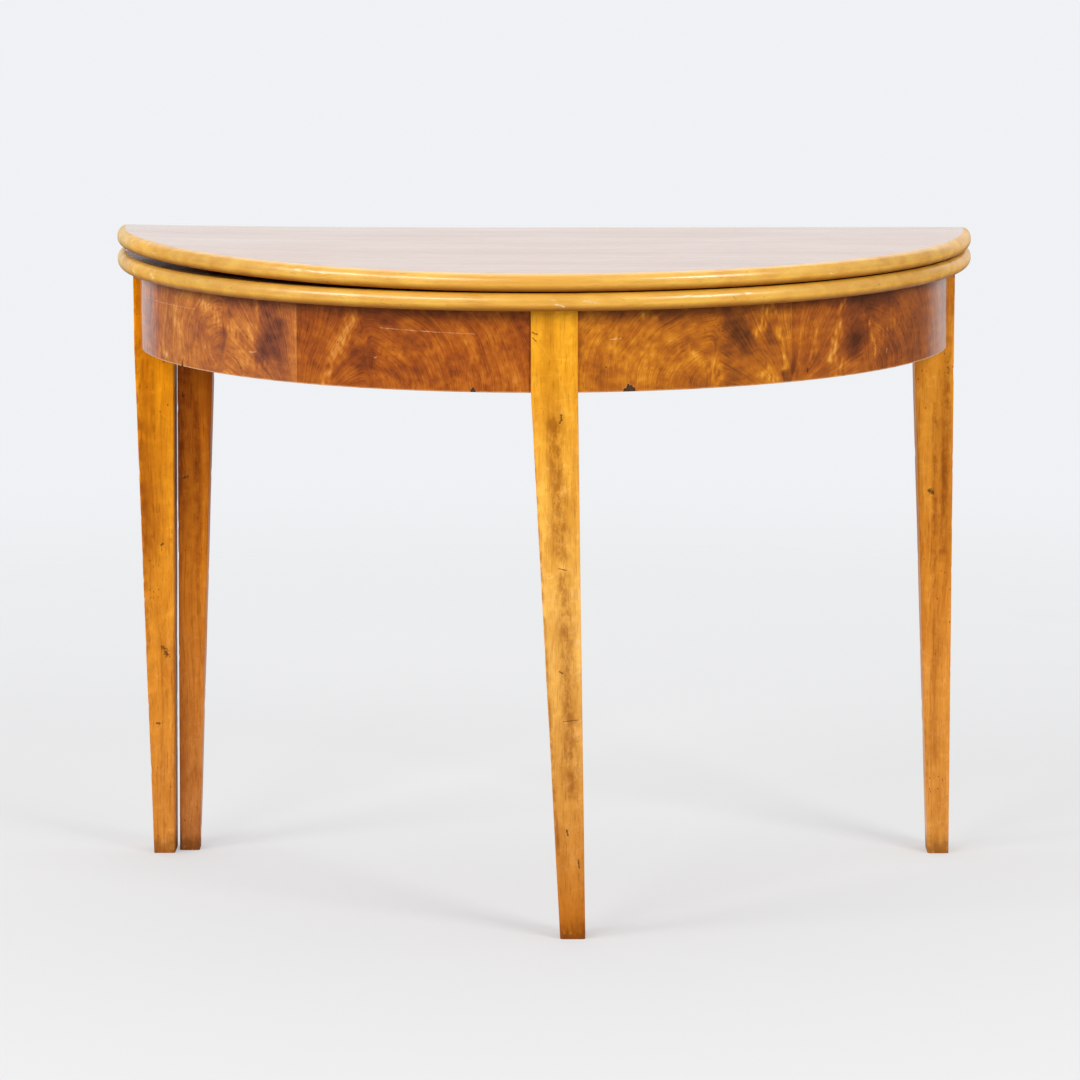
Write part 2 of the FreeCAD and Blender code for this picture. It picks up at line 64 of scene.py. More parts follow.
# %% [markdown]
# ## The camera
#
# The camera stands where the photographer stood. Its place was found by fitting the outline of the round
# top, so it is given here as a position, a focal length and three small turns. A long lens far away keeps
# the legs almost parallel, which a nearer camera would splay. A camera at rest looks straight down, so a
# quarter turn about X, less the pitch, raises its gaze.

# %% Stand the camera where the photo was taken
photo_px = 1080
focal_px = 5012.6
camera_place = (0.0650, -5.84965, 1.3923)
pitch_down, turn_left, tilt = 0.1638, 0.0116, 0.0022

lens = bpy.data.cameras.new("photo_lens")
lens.sensor_width = 36.0
lens.lens = focal_px / photo_px * lens.sensor_width
camera = bpy.data.objects.new("photo_camera", lens)
scene.collection.objects.link(camera)
raised = Matrix.Rotation(math.pi / 2 - pitch_down, 4, "X")
gaze = Matrix.Rotation(turn_left, 4, "Z") @ raised @ Matrix.Rotation(-tilt, 4, "Z")
camera.matrix_world = Matrix.Translation(camera_place) @ gaze
scene.camera = camera
print(f"lens {lens.lens:.1f} mm")


# %% [markdown]
# ## Building meshes from grids
#
# Every new piece is a surface given by a formula on a grid: one parameter runs along the piece and the
# other goes round its section. Working on whole arrays keeps the formula in sight and is fast. The
# helper closes the grid round the section, caps its two ends, merges points that fall together and
# turns all faces outwards.

# %% A closed grid as a mesh
def shell(name, points, materials, fields=None, marks=None, uv=None, sharp_deg=38.0):
    """A closed tube through points[row, column]: columns wrap round, and the two end rows are capped.

    fields are values per point, kept as attributes; marks is a material number per column;
    uv holds two values per point.
    """
    rows, columns = points.shape[:2]
    index = np.arange(rows * columns).reshape(rows, columns)
    after = np.roll(index, -1, axis=1)
    quads = np.stack([index[:-1], after[:-1], after[1:], index[1:]], axis=-1).reshape(-1, 4)
    faces = quads.tolist() + [index[0, ::-1].tolist(), index[-1].tolist()]
    mesh = bpy.data.meshes.new(name)
    mesh.from_pydata(points.reshape(-1, 3).tolist(), [], faces)
    for material in materials:
        mesh.materials.append(material)
    if marks is not None:
        kinds = np.concatenate([np.tile(marks, rows - 1), [marks[0], marks[0]]]).astype(np.int32)
        mesh.polygons.foreach_set("material_index", kinds)
    for label, values in (fields or {}).items():
        kind, part = ("FLOAT_VECTOR", "vector") if values.ndim == 3 else ("FLOAT", "value")
        layer = mesh.attributes.new(label, kind, "POINT")
        layer.data.foreach_set(part, values.astype(np.float32).ravel())
    if uv is not None:
        corner = np.zeros(len(mesh.loops), np.int32)
        mesh.loops.foreach_get("vertex_index", corner)
        spread = uv.reshape(-1, 2)[corner].astype(np.float32).ravel()
        mesh.uv_layers.new(name="surface").data.foreach_set("uv", spread)
    work = bmesh.new()
    work.from_mesh(mesh)
    bmesh.ops.remove_doubles(work, verts=work.verts, dist=1e-6)
    bmesh.ops.dissolve_degenerate(work, edges=work.edges, dist=1e-7)
    bmesh.ops.recalc_face_normals(work, faces=work.faces)
    work.to_mesh(mesh)
    work.free()
    mesh.shade_smooth()
    mesh.set_sharp_from_angle(angle=math.radians(sharp_deg))
    made = bpy.data.objects.new(name, mesh)
    scene.collection.objects.link(made)
    print(name, len(mesh.vertices), "points")
    return made


print("pieces are grids of points, closed and capped")


# %% [markdown]
# ## Building shader trees
#
# The finishes are node trees. Each helper adds one node and gives back its socket, so that a finish reads
# like a formula. A socket knows the tree that it belongs to, so a helper finds the tree by itself.

# %% Helpers for numbers and vectors
def linked(value):
    """Whether a value is a socket to be linked, and not a plain number or colour."""
    return isinstance(value, bpy.types.NodeSocket)


def tree_of(values):
    """The node tree of the first socket among some values."""
    return next(value.id_data for value in values if linked(value))


def put(tree, kind, inputs=None, **settings):
    """Adds a node; inputs maps socket names or numbers to values, or to sockets that are linked."""
    made = tree.nodes.new(kind)
    for label, value in settings.items():
        setattr(made, label, value)
    for label, value in (inputs or {}).items():
        if linked(value):
            tree.links.new(value, made.inputs[label])
        else:
            made.inputs[label].default_value = value
    return made


def sums(operation, *values, clamp=False):
    """One Math node, as a value."""
    sockets = dict(enumerate(values))
    return put(tree_of(values), "ShaderNodeMath", sockets, operation=operation, use_clamp=clamp).outputs[0]


def times(first, second):
    """The product of two values."""
    return sums("MULTIPLY", first, second)


def vectors(operation, *values):
    """One Vector Math node, as a vector."""
    sockets = dict(enumerate(values))
    return put(tree_of(values), "ShaderNodeVectorMath", sockets, operation=operation).outputs[0]


def measure(operation, *values):
    """One Vector Math node, as a number: a length, a distance or a dot product."""
    return vectors(operation, *values).node.outputs["Value"]


def split(vector):
    """The X, Y and Z of a vector."""
    return put(vector.id_data, "ShaderNodeSeparateXYZ", {0: vector}).outputs


def rise(value, low, high, start=0.0, end=1.0):
    """A smooth rise of a value from one level to another."""
    sockets = {"Value": value, "From Min": low, "From Max": high, "To Min": start, "To Max": end}
    return put(value.id_data, "ShaderNodeMapRange", sockets, interpolation_type="SMOOTHSTEP").outputs[0]


def cloud(where, stretch=1.0, detail=2.0, roughness=0.5):
    """Noise about 0.5; stretch is its scale, or one scale per axis for noise drawn out along the grain."""
    if isinstance(stretch, tuple):
        where, stretch = vectors("MULTIPLY", where, stretch), 1.0
    sockets = {"Vector": where, "Scale": stretch, "Detail": detail, "Roughness": roughness}
    return put(where.id_data, "ShaderNodeTexNoise", sockets).outputs[0]


print("helpers for numbers and vectors")


# %% Helpers for colours and materials
def shaded(colour, amount):
    """A plain colour times an amount."""
    return tuple(amount * value for value in colour)


def tint(amount, first, second, blend="MIX"):
    """The first colour turned towards the second by an amount."""
    first, second = (value if linked(value) else (*value, 1.0) for value in (first, second))
    sockets = {0: amount, 6: first, 7: second}
    return put(amount.id_data, "ShaderNodeMix", sockets, data_type="RGBA", blend_type=blend).outputs[2]


def finish(name, **constants):
    """A new material with its constants set on the shader: the material, its tree and the shader."""
    material = bpy.data.materials.new(name)
    material.use_nodes = True
    shader = material.node_tree.nodes["Principled BSDF"]
    for label, value in constants.items():
        shader.inputs[label.replace("_", " ")].default_value = value
    return material, material.node_tree, shader


def feed(shader, **sockets):
    """Links sockets to the shader's inputs of those names."""
    for label, socket in sockets.items():
        shader.id_data.links.new(socket, shader.inputs[label.replace("_", " ")])


def own_place(tree):
    """Object coordinates, which stay with the piece when it moves."""
    return put(tree, "ShaderNodeTexCoord").outputs["Object"]


print("helpers for colours and materials")


# %% [markdown]
# ## The studio
#
# The photo has a pale floor that melts into a pale surround. Two streaks on the left of each leaf's edge
# and one on the right tell of three lamps, and the legs' faint shadows agree. Each lamp is a low softbox
# that polish doesn't mirror, and above it a flat strip that it does: so the edges get their streaks, and
# the top keeps its grain when it is seen from behind.
# Polish mirrors a pale backdrop no wider than the table and a dark room beside it and behind the camera,
# which is why the polished fronts look deep, while the top and the outermost ends look pale.
# The floor is a disc whose rim fades away, so that no horizon shows and nothing hides the table from
# behind; from below it can be seen through. The camera sees it partly as glowing paper, so that it stays
# pale and even without more light on the table.

# %% The disc of the floor
floor_radius, fade_start = 3.4, 1.5
floor_rings, floor_spokes = 20, 64

ring, spoke = np.meshgrid(np.linspace(0, floor_radius, floor_rings)[1:],
                          np.linspace(0, 2 * math.pi, floor_spokes, endpoint=False))
disc = np.stack([ring * np.sin(spoke), ring * np.cos(spoke), 0 * ring], axis=-1)
spot = np.arange(ring.size).reshape(ring.shape)
turned = np.roll(spot, -1, axis=0)
disc_faces = np.stack([spot[:, :-1], turned[:, :-1], turned[:, 1:], spot[:, 1:]], axis=-1)
disc_faces = disc_faces.reshape(-1, 4).tolist() + [spot[::-1, 0].tolist()]
floor_mesh = bpy.data.meshes.new("studio_floor")
floor_mesh.from_pydata(disc.reshape(-1, 3).tolist(), [], disc_faces)
studio_floor = bpy.data.objects.new("studio_floor", floor_mesh)
scene.collection.objects.link(studio_floor)
print("floor disc", len(disc_faces), "faces")

# %% Pale paper that fades out
paper_white, paper_seen = (0.75, 0.75, 0.75), (0.38, 0.38, 0.38)
near_glow, far_glow = 0.318, 0.452
glow_near_y, glow_far_y = -1.2, 2.0

paper, tree, shader = finish("studio_paper", Roughness=0.9, Specular_IOR_Level=0.1)
shader.inputs["Emission Color"].default_value = (1.0, 1.0, 1.0, 1.0)
place = own_place(tree)
rays = put(tree, "ShaderNodeLightPath").outputs
looked_at = sums("MAXIMUM", rays["Is Camera Ray"], rays["Is Glossy Ray"])
scuffs = rise(cloud(place, 1.7, 6.0, 0.65), 0.58, 0.80, 0.0, 0.3)
shade = tint(scuffs, paper_seen, shaded(paper_seen, 0.8))
glow = rise(split(place)["Y"], glow_near_y, glow_far_y, near_glow, far_glow)
from_above = sums("SUBTRACT", 1.0, put(tree, "ShaderNodeNewGeometry").outputs["Backfacing"])
shown = times(rise(measure("LENGTH", place), floor_radius, fade_start), from_above)
feed(shader, Base_Color=tint(looked_at, paper_white, shade),
     Emission_Strength=times(looked_at, glow), Alpha=shown)
floor_mesh.materials.append(paper)
print("paper", len(tree.nodes), "nodes")

# %% The surround
backdrop_white = (0.868, 0.884, 0.908, 1.0)
surround_white = (0.955, 0.975, 1.0, 1.0)
bright_level, dim_level, ground_share = 0.95, 0.12, 0.5
fill_turn = 0.2


def hypotenuse(first, second):
    """The long side over two sides that meet at a right angle."""
    return sums("SQRT", sums("ADD", times(first, first), times(second, second)))


surround = bpy.data.worlds.new("studio_surround")
surround.use_nodes = True
tree = surround.node_tree
way = split(put(tree, "ShaderNodeTexCoord").outputs["Generated"])
behind = sums("SUBTRACT", way["Y"], times(way["X"], fill_turn))
fill = rise(behind, -0.85, -0.15, dim_level, bright_level)
ahead = sums("DIVIDE", way["Y"], hypotenuse(way["X"], way["Y"]))
mirrored = rise(ahead, 0.70, 0.87, dim_level, bright_level)
rays = put(tree, "ShaderNodeLightPath").outputs
level = sums("MULTIPLY_ADD", rays["Is Glossy Ray"], sums("SUBTRACT", mirrored, fill), fill)
level = times(level, rise(way["Z"], -0.2, 0.02, ground_share, 1.0))
light = put(tree, "ShaderNodeBackground", {"Color": surround_white, "Strength": level}).outputs[0]
seen = put(tree, "ShaderNodeBackground", {"Color": backdrop_white, "Strength": 1.0}).outputs[0]
both = put(tree, "ShaderNodeMixShader", {0: rays["Is Camera Ray"], 1: light, 2: seen}).outputs[0]
tree.links.new(both, tree.nodes["World Output"].inputs["Surface"])
scene.world = surround
print("surround", len(tree.nodes), "nodes")

# %% The lamps
lamp_reach, lamp_aim = 3.6, Vector((0.0, 0.0, 0.55))
softbox_rise, softbox_size = 2.29, (1.4, 1.5)
strip_rise, strip_size = 2.85, (1.4, 0.8)
# Each lamp has a bearing in degrees from the front, the softbox's watts and the strip's.
lamps = {"left": (-61.0, 45.0, 13.5), "left_front": (-30.0, 33.0, 11.0), "right": (47.0, 72.0, 18.5)}


def hang_lamp(label, bearing, height, size, watts, mirrored):
    """A rectangular lamp at a bearing from the front; it shines along its own -Z, so Z points away."""
    lamp = bpy.data.lights.new(label, "AREA")
    lamp.shape = "RECTANGLE"
    lamp.size, lamp.size_y = size
    lamp.energy = watts
    turn = math.radians(bearing)
    stand = Vector((lamp_reach * math.sin(turn), -lamp_reach * math.cos(turn), height))
    facing = (stand - lamp_aim).to_track_quat("Z", "Y").to_matrix().to_4x4()
    hung = bpy.data.objects.new(label, lamp)
    hung.visible_glossy = mirrored
    hung.matrix_world = Matrix.Translation(stand) @ facing
    scene.collection.objects.link(hung)


for side, (bearing, softbox_watts, strip_watts) in lamps.items():
    hang_lamp(f"{side}_softbox", bearing, softbox_rise, softbox_size, softbox_watts, False)
    hang_lamp(f"{side}_strip", bearing, strip_rise, strip_size, strip_watts, True)
print(2 * len(lamps), "lamps")


# %% [markdown]
# ## Effects that several finishes share
#
# Straight grain is noise stretched along the wood: broad bands for the growth rings, fine lines for the
# fibre, and short dark dashes for the pores. It reads Object coordinates, so it runs through a piece as
# real grain does and turns with it. Here grain runs along Z; a finish whose wood lies another way turns
# the place first.

# %% Straight grain
def group(name, inputs, outputs):
    """An empty node group with named sockets: its tree, its inputs and its output node."""
    tree = bpy.data.node_groups.new(name, "ShaderNodeTree")
    for side, sockets in (("INPUT", inputs), ("OUTPUT", outputs)):
        for label, kind in sockets.items():
            tree.interface.new_socket(label, in_out=side, socket_type="NodeSocket" + kind)
    return tree, put(tree, "NodeGroupInput").outputs, put(tree, "NodeGroupOutput").inputs


grain_group, inside, out = group(
    "straight_grain", {"Place": "Vector", "Seed": "Float"},
    {"Bands": "Float", "Fibre": "Float", "Pores": "Float"})
shifted = vectors("ADD", inside["Place"], inside["Seed"])
sway = cloud(shifted, (9.0, 9.0, 3.5), 1.0).node.outputs["Color"]
sway = vectors("MULTIPLY", vectors("SUBTRACT", sway, (0.5, 0.5, 0.5)), (0.03, 0.03, 0.0))
swayed = vectors("ADD", shifted, sway)
grain_group.links.new(cloud(swayed, (60.0, 60.0, 1.9), 3.0), out["Bands"])
grain_group.links.new(cloud(swayed, (480.0, 480.0, 16.0), 2.0), out["Fibre"])
grain_group.links.new(rise(cloud(swayed, (1000.0, 1000.0, 55.0), 0.0), 0.64, 0.78), out["Pores"])
print("grain group", len(grain_group.nodes), "nodes")

# %% [markdown]
# A mark is a short stroke: a scratch, a dent, a worm hole or a knot. Its mask falls with the distance to
# a line between two points: roughened by noise for a scratch, so it doesn't look drawn, and smooth for a
# soft stain. Marks are placed one by one, because wear on a real table is never even, and they are written
# in millimetres, because they are small.

# %% Strokes
mm = 0.001
shortest_stroke = 1e-5

stroke_group, inside, out = group(
    "stroke",
    {"Place": "Vector", "From": "Vector", "To": "Vector", "Width": "Float", "Soft": "Float"},
    {"Mask": "Float"})
run = vectors("SUBTRACT", inside["To"], inside["From"])
reach = vectors("SUBTRACT", inside["Place"], inside["From"])
share = sums("DIVIDE", measure("DOT_PRODUCT", reach, run), measure("DOT_PRODUCT", run, run), clamp=True)
gap = measure("DISTANCE", reach, vectors("MULTIPLY", run, share))
hard = sums("SUBTRACT", 1.0, inside["Soft"])
rough = rise(cloud(inside["Place"], 420.0), 0.25, 0.75, -0.65, 0.45)
width = times(inside["Width"], sums("MULTIPLY_ADD", rough, hard, 1.0))
stroke_group.links.new(rise(sums("DIVIDE", gap, width), 1.0, times(hard, 0.45)), out["Mask"])


def placed(node_group, **inputs):
    """A node group in a material, as its outputs."""
    return put(tree_of(inputs.values()), "ShaderNodeGroup", inputs, node_tree=node_group).outputs


def strokes(place, marks, soft=0.0):
    """The joined mask of several marks, each a start, an end and a half width; soft is 1 for stains."""
    joined = None
    for start, end, width in marks:
        if end == start:
            end = tuple(value + shortest_stroke for value in end)
        mask = placed(stroke_group, Place=place, From=start, To=end, Width=width, Soft=soft)["Mask"]
        joined = mask if joined is None else sums("MAXIMUM", joined, mask)
    return joined


print("stroke group", len(stroke_group.nodes), "nodes")

# %% Specks
speck_group, inside, out = group(
    "specks", {"Place": "Vector", "Scale": "Float", "Size": "Float", "Share": "Float"}, {"Mask": "Float"})
cells = put(speck_group, "ShaderNodeTexVoronoi", {
    "Vector": inside["Place"], "Scale": inside["Scale"]}).outputs
chance = put(speck_group, "ShaderNodeSeparateColor", {0: cells["Color"]}).outputs
radius = times(inside["Size"], sums("ADD", chance[1], 0.35))
dots = rise(sums("DIVIDE", cells["Distance"], radius), 1.0, 0.6)
speck_group.links.new(times(dots, sums("LESS_THAN", chance[0], inside["Share"])), out["Mask"])
print("speck group", len(speck_group.nodes), "nodes")

# %% [markdown]
# ## Golden leg wood
#
# The legs are a pale hardwood under old amber shellac. Each leg was cut from another plank and has aged in
# its own way from foot to top, so one function makes the finish and each leg gets three colours of its own.
# Grain, clouds and pores darken them by multiplying, as stain does. Stains, holes and rubs are the marks of
# that leg, though a few stains are painted shade: the top corners of the rear legs beside the frieze, and in
# part the upper left side of the gate leg. A thin clear coat over a duller ground gives the polish.

# %% Layers, attributes and relief
def layered(colour, *layers):
    """A colour with layers over it: each is a mask and a colour that stains it or, with MIX, covers it."""
    for amount, shade, *blend in layers:
        colour = tint(amount, colour, shade, *(blend or ["MULTIPLY"]))
    return colour


def ramp(value, stops):
    """A colour that runs through stops, each a value and a colour."""
    made = put(value.id_data, "ShaderNodeValToRGB", {0: value})
    while len(made.color_ramp.elements) < len(stops):
        made.color_ramp.elements.new(0.5)
    for element, (spot, shade) in zip(made.color_ramp.elements, stops):
        element.position = spot
        element.color = (*shade, 1.0)
    return made.outputs[0]


def own_field(tree, name):
    """An attribute of the piece's points, as the outputs of its node."""
    return put(tree, "ShaderNodeAttribute", attribute_name=name).outputs


def bumped(relief, strength, depth):
    """A normal bent by a relief: how strongly, and how deep in metres a relief of 1 is."""
    sockets = {"Strength": strength, "Distance": depth, "Height": relief}
    return put(relief.id_data, "ShaderNodeBump", sockets).outputs[0]


print("helpers for wood finishes")

# %% The finish of a leg
foot_dirt_height = 0.030
leg_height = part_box("front_leg")[1].z
tone_heights = (0.02, 0.50, 0.90)
leg_coat = 0.10


def leg_finish(name, tones, figure, seed, stains, holes, rubs):
    """Shellacked leg wood with grain along Z; tones are its colours at the foot, half way and at the top."""
    material, tree, shader = finish(
        name, Specular_IOR_Level=0.06, Coat_Weight=leg_coat, Coat_Roughness=0.20, Coat_IOR=1.40)
    place = own_place(tree)
    height = split(place)["Z"]
    grain = placed(grain_group, Place=place, Seed=seed)
    seeded = vectors("ADD", place, (seed, 2 * seed, 3 * seed))
    streak = cloud(seeded, (34.0, 34.0, 2.2), 3.0, 0.6)
    clouds = cloud(seeded, (34.0, 34.0, 14.0), 4.0, 0.62)
    ripple = cloud(seeded, (60.0, 60.0, 90.0))
    grime = cloud(seeded, (120.0, 120.0, 60.0), 4.0, 0.7)
    upright = vectors("MULTIPLY", seeded, (1.0, 1.0, 0.6))
    specks = placed(speck_group, Place=upright, Scale=190.0, Size=0.16, Share=0.36)["Mask"]
    rubbed = times(own_field(tree, "arris")["Fac"], rise(clouds, 0.35, 0.62, 0.10, 0.55))
    dirt_top = sums("MULTIPLY_ADD", sums("SUBTRACT", grime, 0.5), 0.06, height)
    dirt = rise(dirt_top, foot_dirt_height, 0.0, 0.0, 0.7)
    bare = times(rise(dirt_top, 0.020, 0.004), rise(grime, 0.56, 0.66, 0.0, 0.5))
    bend = sums("ABSOLUTE", sums("SUBTRACT", cloud(seeded, (42.0, 42.0, 30.0), 1.0), 0.5))
    curls = times(rise(bend, 0.020, 0.006), rise(clouds, 0.36, 0.50))
    # Stains are marks of the wood, except where they are painted shade: the top corners of the rear legs and,
    # in part, the gate leg's upper left side.
    stain_and_shade = times(strokes(place, stains, 1.0), rise(grime, 0.36, 0.62, 0.20, 0.75))
    holes_mask = strokes(place, holes)
    colour = layered(
        ramp(sums("DIVIDE", height, leg_height), tuple(zip(tone_heights, tones))),
        (rise(grain["Bands"], 0.34, 0.70, 0.0, figure), (0.74, 0.64, 0.48)),
        (rise(streak, 0.50, 0.72, 0.0, figure), (0.66, 0.52, 0.36)),
        (rise(clouds, 0.42, 0.70, 0.0, 0.70), (0.80, 0.70, 0.55)),
        (rise(ripple, 0.52, 0.72, 0.0, 0.55), (1.14, 1.22, 1.40)),
        (rise(grain["Fibre"], 0.48, 0.80, 0.0, 0.85 * figure), (0.70, 0.58, 0.42)),
        (rise(grime, 0.42, 0.62, 0.0, 0.45), (0.85, 0.78, 0.66)),
        (times(grain["Pores"], 0.40), (0.50, 0.38, 0.25)),
        (stain_and_shade, (0.46, 0.30, 0.20)),
        (times(curls, 0.35), (1.12, 1.28, 2.6)),
        (times(specks, 0.75), (0.30, 0.20, 0.14)),
        (rubbed, (1.16, 1.22, 1.6)),
        (dirt, (0.30, 0.24, 0.20)),
        (bare, (0.60, 0.42, 0.25), "MIX"),
        (times(holes_mask, 0.80), (0.07, 0.022, 0.005), "MIX"),
        (times(strokes(place, rubs, 0.7), 0.55), (1.10, 1.22, 2.2)))
    relief = sums("MULTIPLY_ADD", specks, -0.4, times(grain["Fibre"], 0.25))
    feed(shader, Base_Color=colour,
         Roughness=sums("MULTIPLY_ADD", dirt, 0.3, rise(clouds, 0.3, 0.7, 0.36, 0.50)),
         Coat_Weight=rise(dirt, 0.0, 0.6, leg_coat, 0.02),
         Normal=bumped(sums("SUBTRACT", relief, holes_mask), 0.35, 0.0006))
    return material


print(f"leg finish for legs {leg_height:.3f} m tall")

# %% [markdown]
# ## Four tapered legs
#
# A leg is a rounded rectangle carried up the leg: plumb from the frieze to the top and tapering from there
# to the foot. The sizes are read from the CAD leg. The hand-planed faces ripple by a hair, and the arrises
# are worn round with many small dents, which a plain bevel can't give because it is the same everywhere.

# %% Measuring the CAD and wearing a surface
def cad_points(node):
    """The points of one CAD node's mesh, as an array."""
    mesh = nodes[node].data
    points = np.zeros(len(mesh.vertices) * 3)
    mesh.vertices.foreach_get("co", points)
    return points.reshape(-1, 3)


def waves(points, length, seed, count=14):
    """Soft unevenness about 0, mostly from -1 to 1: plane waves of about one length, in mixed directions."""
    draw = np.random.default_rng(seed)
    ways = draw.normal(size=(count, points.shape[-1]))
    ways /= np.linalg.norm(ways, axis=1, keepdims=True)
    pace = 2 * math.pi / (length * draw.uniform(0.6, 1.6, count))
    phase = draw.uniform(0, 2 * math.pi, count)
    return np.sin(points @ (ways * pace[:, None]).T + phase).sum(axis=-1) / math.sqrt(count)


def step(low, high, value):
    """A smooth rise from 0 to 1 between two values."""
    t = np.clip((value - low) / (high - low), 0, 1)
    return t * t * (3 - 2 * t)


print("the front leg in the CAD has", len(cad_points("front_leg")), "points")

# %% The section of a leg
frieze_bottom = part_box("right_veneer_2")[0].z
corner_steps, side_steps = 6, 12
worn_arris = 0.0017
hair = 1e-5


def section(low_x, high_x, low_y, high_y, radius):
    """Rounded rectangles, one per height: four quarter circles joined by straight runs.

    Returns x, y, the outward way of each column, and 1 on the arrises falling to 0 on the faces.
    """
    turn = np.linspace(0, math.pi / 2, corner_steps)
    starts = (-math.pi / 2, 0.0, math.pi / 2, math.pi)
    centres = ((high_x - radius, low_y + radius), (high_x - radius, high_y - radius),
               (low_x + radius, high_y - radius), (low_x + radius, low_y + radius))
    bow = radius[:, None]
    arcs = [(cx[:, None] + bow * np.cos(start + turn), cy[:, None] + bow * np.sin(start + turn))
            for (cx, cy), start in zip(centres, starts)]
    share = np.linspace(0, 1, side_steps + 2)[1:-1]
    xs, ys, ways, edge = [], [], [], []
    for i, (arc_x, arc_y) in enumerate(arcs):
        next_x, next_y = arcs[(i + 1) % 4][0][:, :1], arcs[(i + 1) % 4][1][:, :1]
        xs += [arc_x, arc_x[:, -1:] * (1 - share) + next_x * share]
        ys += [arc_y, arc_y[:, -1:] * (1 - share) + next_y * share]
        angles = np.concatenate([starts[i] + turn, np.full(side_steps, starts[i] + math.pi / 2)])
        ways.append(np.stack([np.cos(angles), np.sin(angles)], axis=-1))
        edge.append(np.concatenate([np.sin(2 * turn) * 0.4 + 0.6, 0 * share]))
    return np.hstack(xs), np.hstack(ys), np.vstack(ways), np.concatenate(edge)


print("legs taper below", round(frieze_bottom, 4), "m")

# %% The surface of a leg
taper_rings, plumb_rings = 210, 34
first_rings = (0.0, 0.0008)
nick_count, foot_rings, head_rings = 46, 6, 40
nick_radii, nick_depths = (0.0012, 0.0042), (0.0003, 0.0012)
ripple_depth, ripple_length = 0.00012, 0.05
wear_length, scuffed_height = 0.11, 0.12


def dented(points, out, dents):
    """Points pushed in along out: each dent is a place, a radius and a depth, and falls off as a bell."""
    dents = np.array(dents)
    away = ((points[:, :, None] - dents[:, :3]) ** 2).sum(-1) / dents[:, 3] ** 2
    return points - out * (dents[:, 4] * np.exp(-away)).max(axis=-1)[..., None]


def leg(name, node, body, material, dents, seed):
    """A leg between the CAD leg's own sections, dented, and cut back above its shoulder as the CAD leg is."""
    cad = cad_points(node)
    top = cad[:, 2].max()
    foot, knee, head = (cad[abs(cad[:, 2] - z) < hair] for z in (0.0, frieze_bottom, top))
    cut_back = max(0.0, head.min(0)[1] - knee.min(0)[1])
    shoulder = np.round(cad[cad[:, 2] > frieze_bottom + 10 * hair][:, 2], 5).min()
    height = np.unique(np.concatenate([
        first_rings, np.linspace(0.003, frieze_bottom, taper_rings),
        [shoulder, shoulder + hair], np.linspace(frieze_bottom, top, plumb_rings)]))
    share = np.clip(height / frieze_bottom, 0, 1)[:, None]
    low = foot.min(0) * (1 - share) + knee.min(0) * share
    high = foot.max(0) * (1 - share) + knee.max(0) * share
    low[height > shoulder + hair / 2, 1] += cut_back
    wear = 1 + 0.35 * waves(height[:, None], wear_length, seed) + 0.7 * step(scuffed_height, 0.0, height)
    rounding = worn_arris * np.clip(wear, 0.6, 2.4)
    x, y, ways, edge = section(low[:, 0], high[:, 0], low[:, 1], high[:, 1], rounding)
    points = np.stack([x, y, np.broadcast_to(height[:, None], x.shape)], axis=-1)
    out = np.concatenate([ways, np.zeros((len(ways), 1))], axis=1)
    draw = np.random.default_rng(seed + 2)
    rings = draw.integers(foot_rings, len(height) - head_rings, nick_count)
    columns = draw.choice(np.flatnonzero(edge > 0.9), nick_count)
    nicks = np.concatenate([points[rings, columns], draw.uniform(*nick_radii, (nick_count, 1)),
                            draw.uniform(*nick_depths, (nick_count, 1))], axis=1)
    ripple = ripple_depth * waves(points * [1, 1, 0.35], ripple_length, seed + 1)
    points = dented(points + out * ripple[..., None], out, np.concatenate([nicks, dents]))
    points[:, :, 2] = np.clip(points[:, :, 2], 0, top)
    made = shell(name, points, [material], {"arris": np.broadcast_to(edge, x.shape)})
    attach(made, body)
    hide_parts(node)


def on_face(y, set_back, *marks):
    """Marks on a tapered front, set back from y by so much: x, z of two ends and a half width, all in mm."""
    y = y + set_back * mm
    return [((x0 * mm, y, z0 * mm), (x1 * mm, y, z1 * mm), width * mm) for x0, z0, x1, z1, width in marks]


def dents_on_face(y, set_back, *dents):
    """Dents on a tapered front, set back from y by so much: x, z, a radius and a depth, all in mm."""
    y = y + set_back * mm
    return [(x * mm, y, z * mm, radius * mm, depth * mm) for x, z, radius, depth in dents]


print(nick_count, "nicks on the arrises of each leg")

# %% The front leg
front_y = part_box("front_leg")[0].y
front_wood = leg_finish(
    "front_leg_wood", ((0.48, 0.144, 0.008), (0.90, 0.490, 0.108), (0.89, 0.405, 0.022)), 0.50, 3.1,
    stains=on_face(front_y, 0, (16, 600, 24, 450, 16), (26, 420, 36, 170, 13), (-7, 560, 20, 100, 4)),
    holes=on_face(
        front_y, 0, (-8, 702, -3, 700, 1.2), (-8, 696, -4, 692, 0.9), (24.5, 608, 24, 602, 1.8),
        (24, 603, 22.5, 599, 1.2), (21, 432, 30, 430, 0.8), (22, 313, 25, 311, 1.2), (26, 255, 44, 257, 0.6),
        (30, 128, 31, 122, 1.4), (43, 94, 44, 84, 1.2)),
    rubs=on_face(
        front_y, 0, (34, 56, 46, 60, 1.4), (1, 688, 12, 672, 1.6), (12, 672, 31, 671, 1.4),
        (31, 671, 39, 665, 1.4), (13, 630, 18, 624, 1.4), (18, 624, 34, 627, 1.4), (10, 586, 19, 574, 1.5),
        (19, 574, 28, 582, 1.5), (6, 549, 15, 541, 1.3), (15, 541, 28, 551, 1.3), (15, 510, 26, 520, 1.3)))
front_dents = dents_on_face(front_y, 0, (15.5, 267, 3.5, 1.2), (50.5, 267, 3, 1.1), (51.5, 168, 3, 1.3))
leg("front_leg_worn", "front_leg", "frame", front_wood, front_dents, 11)

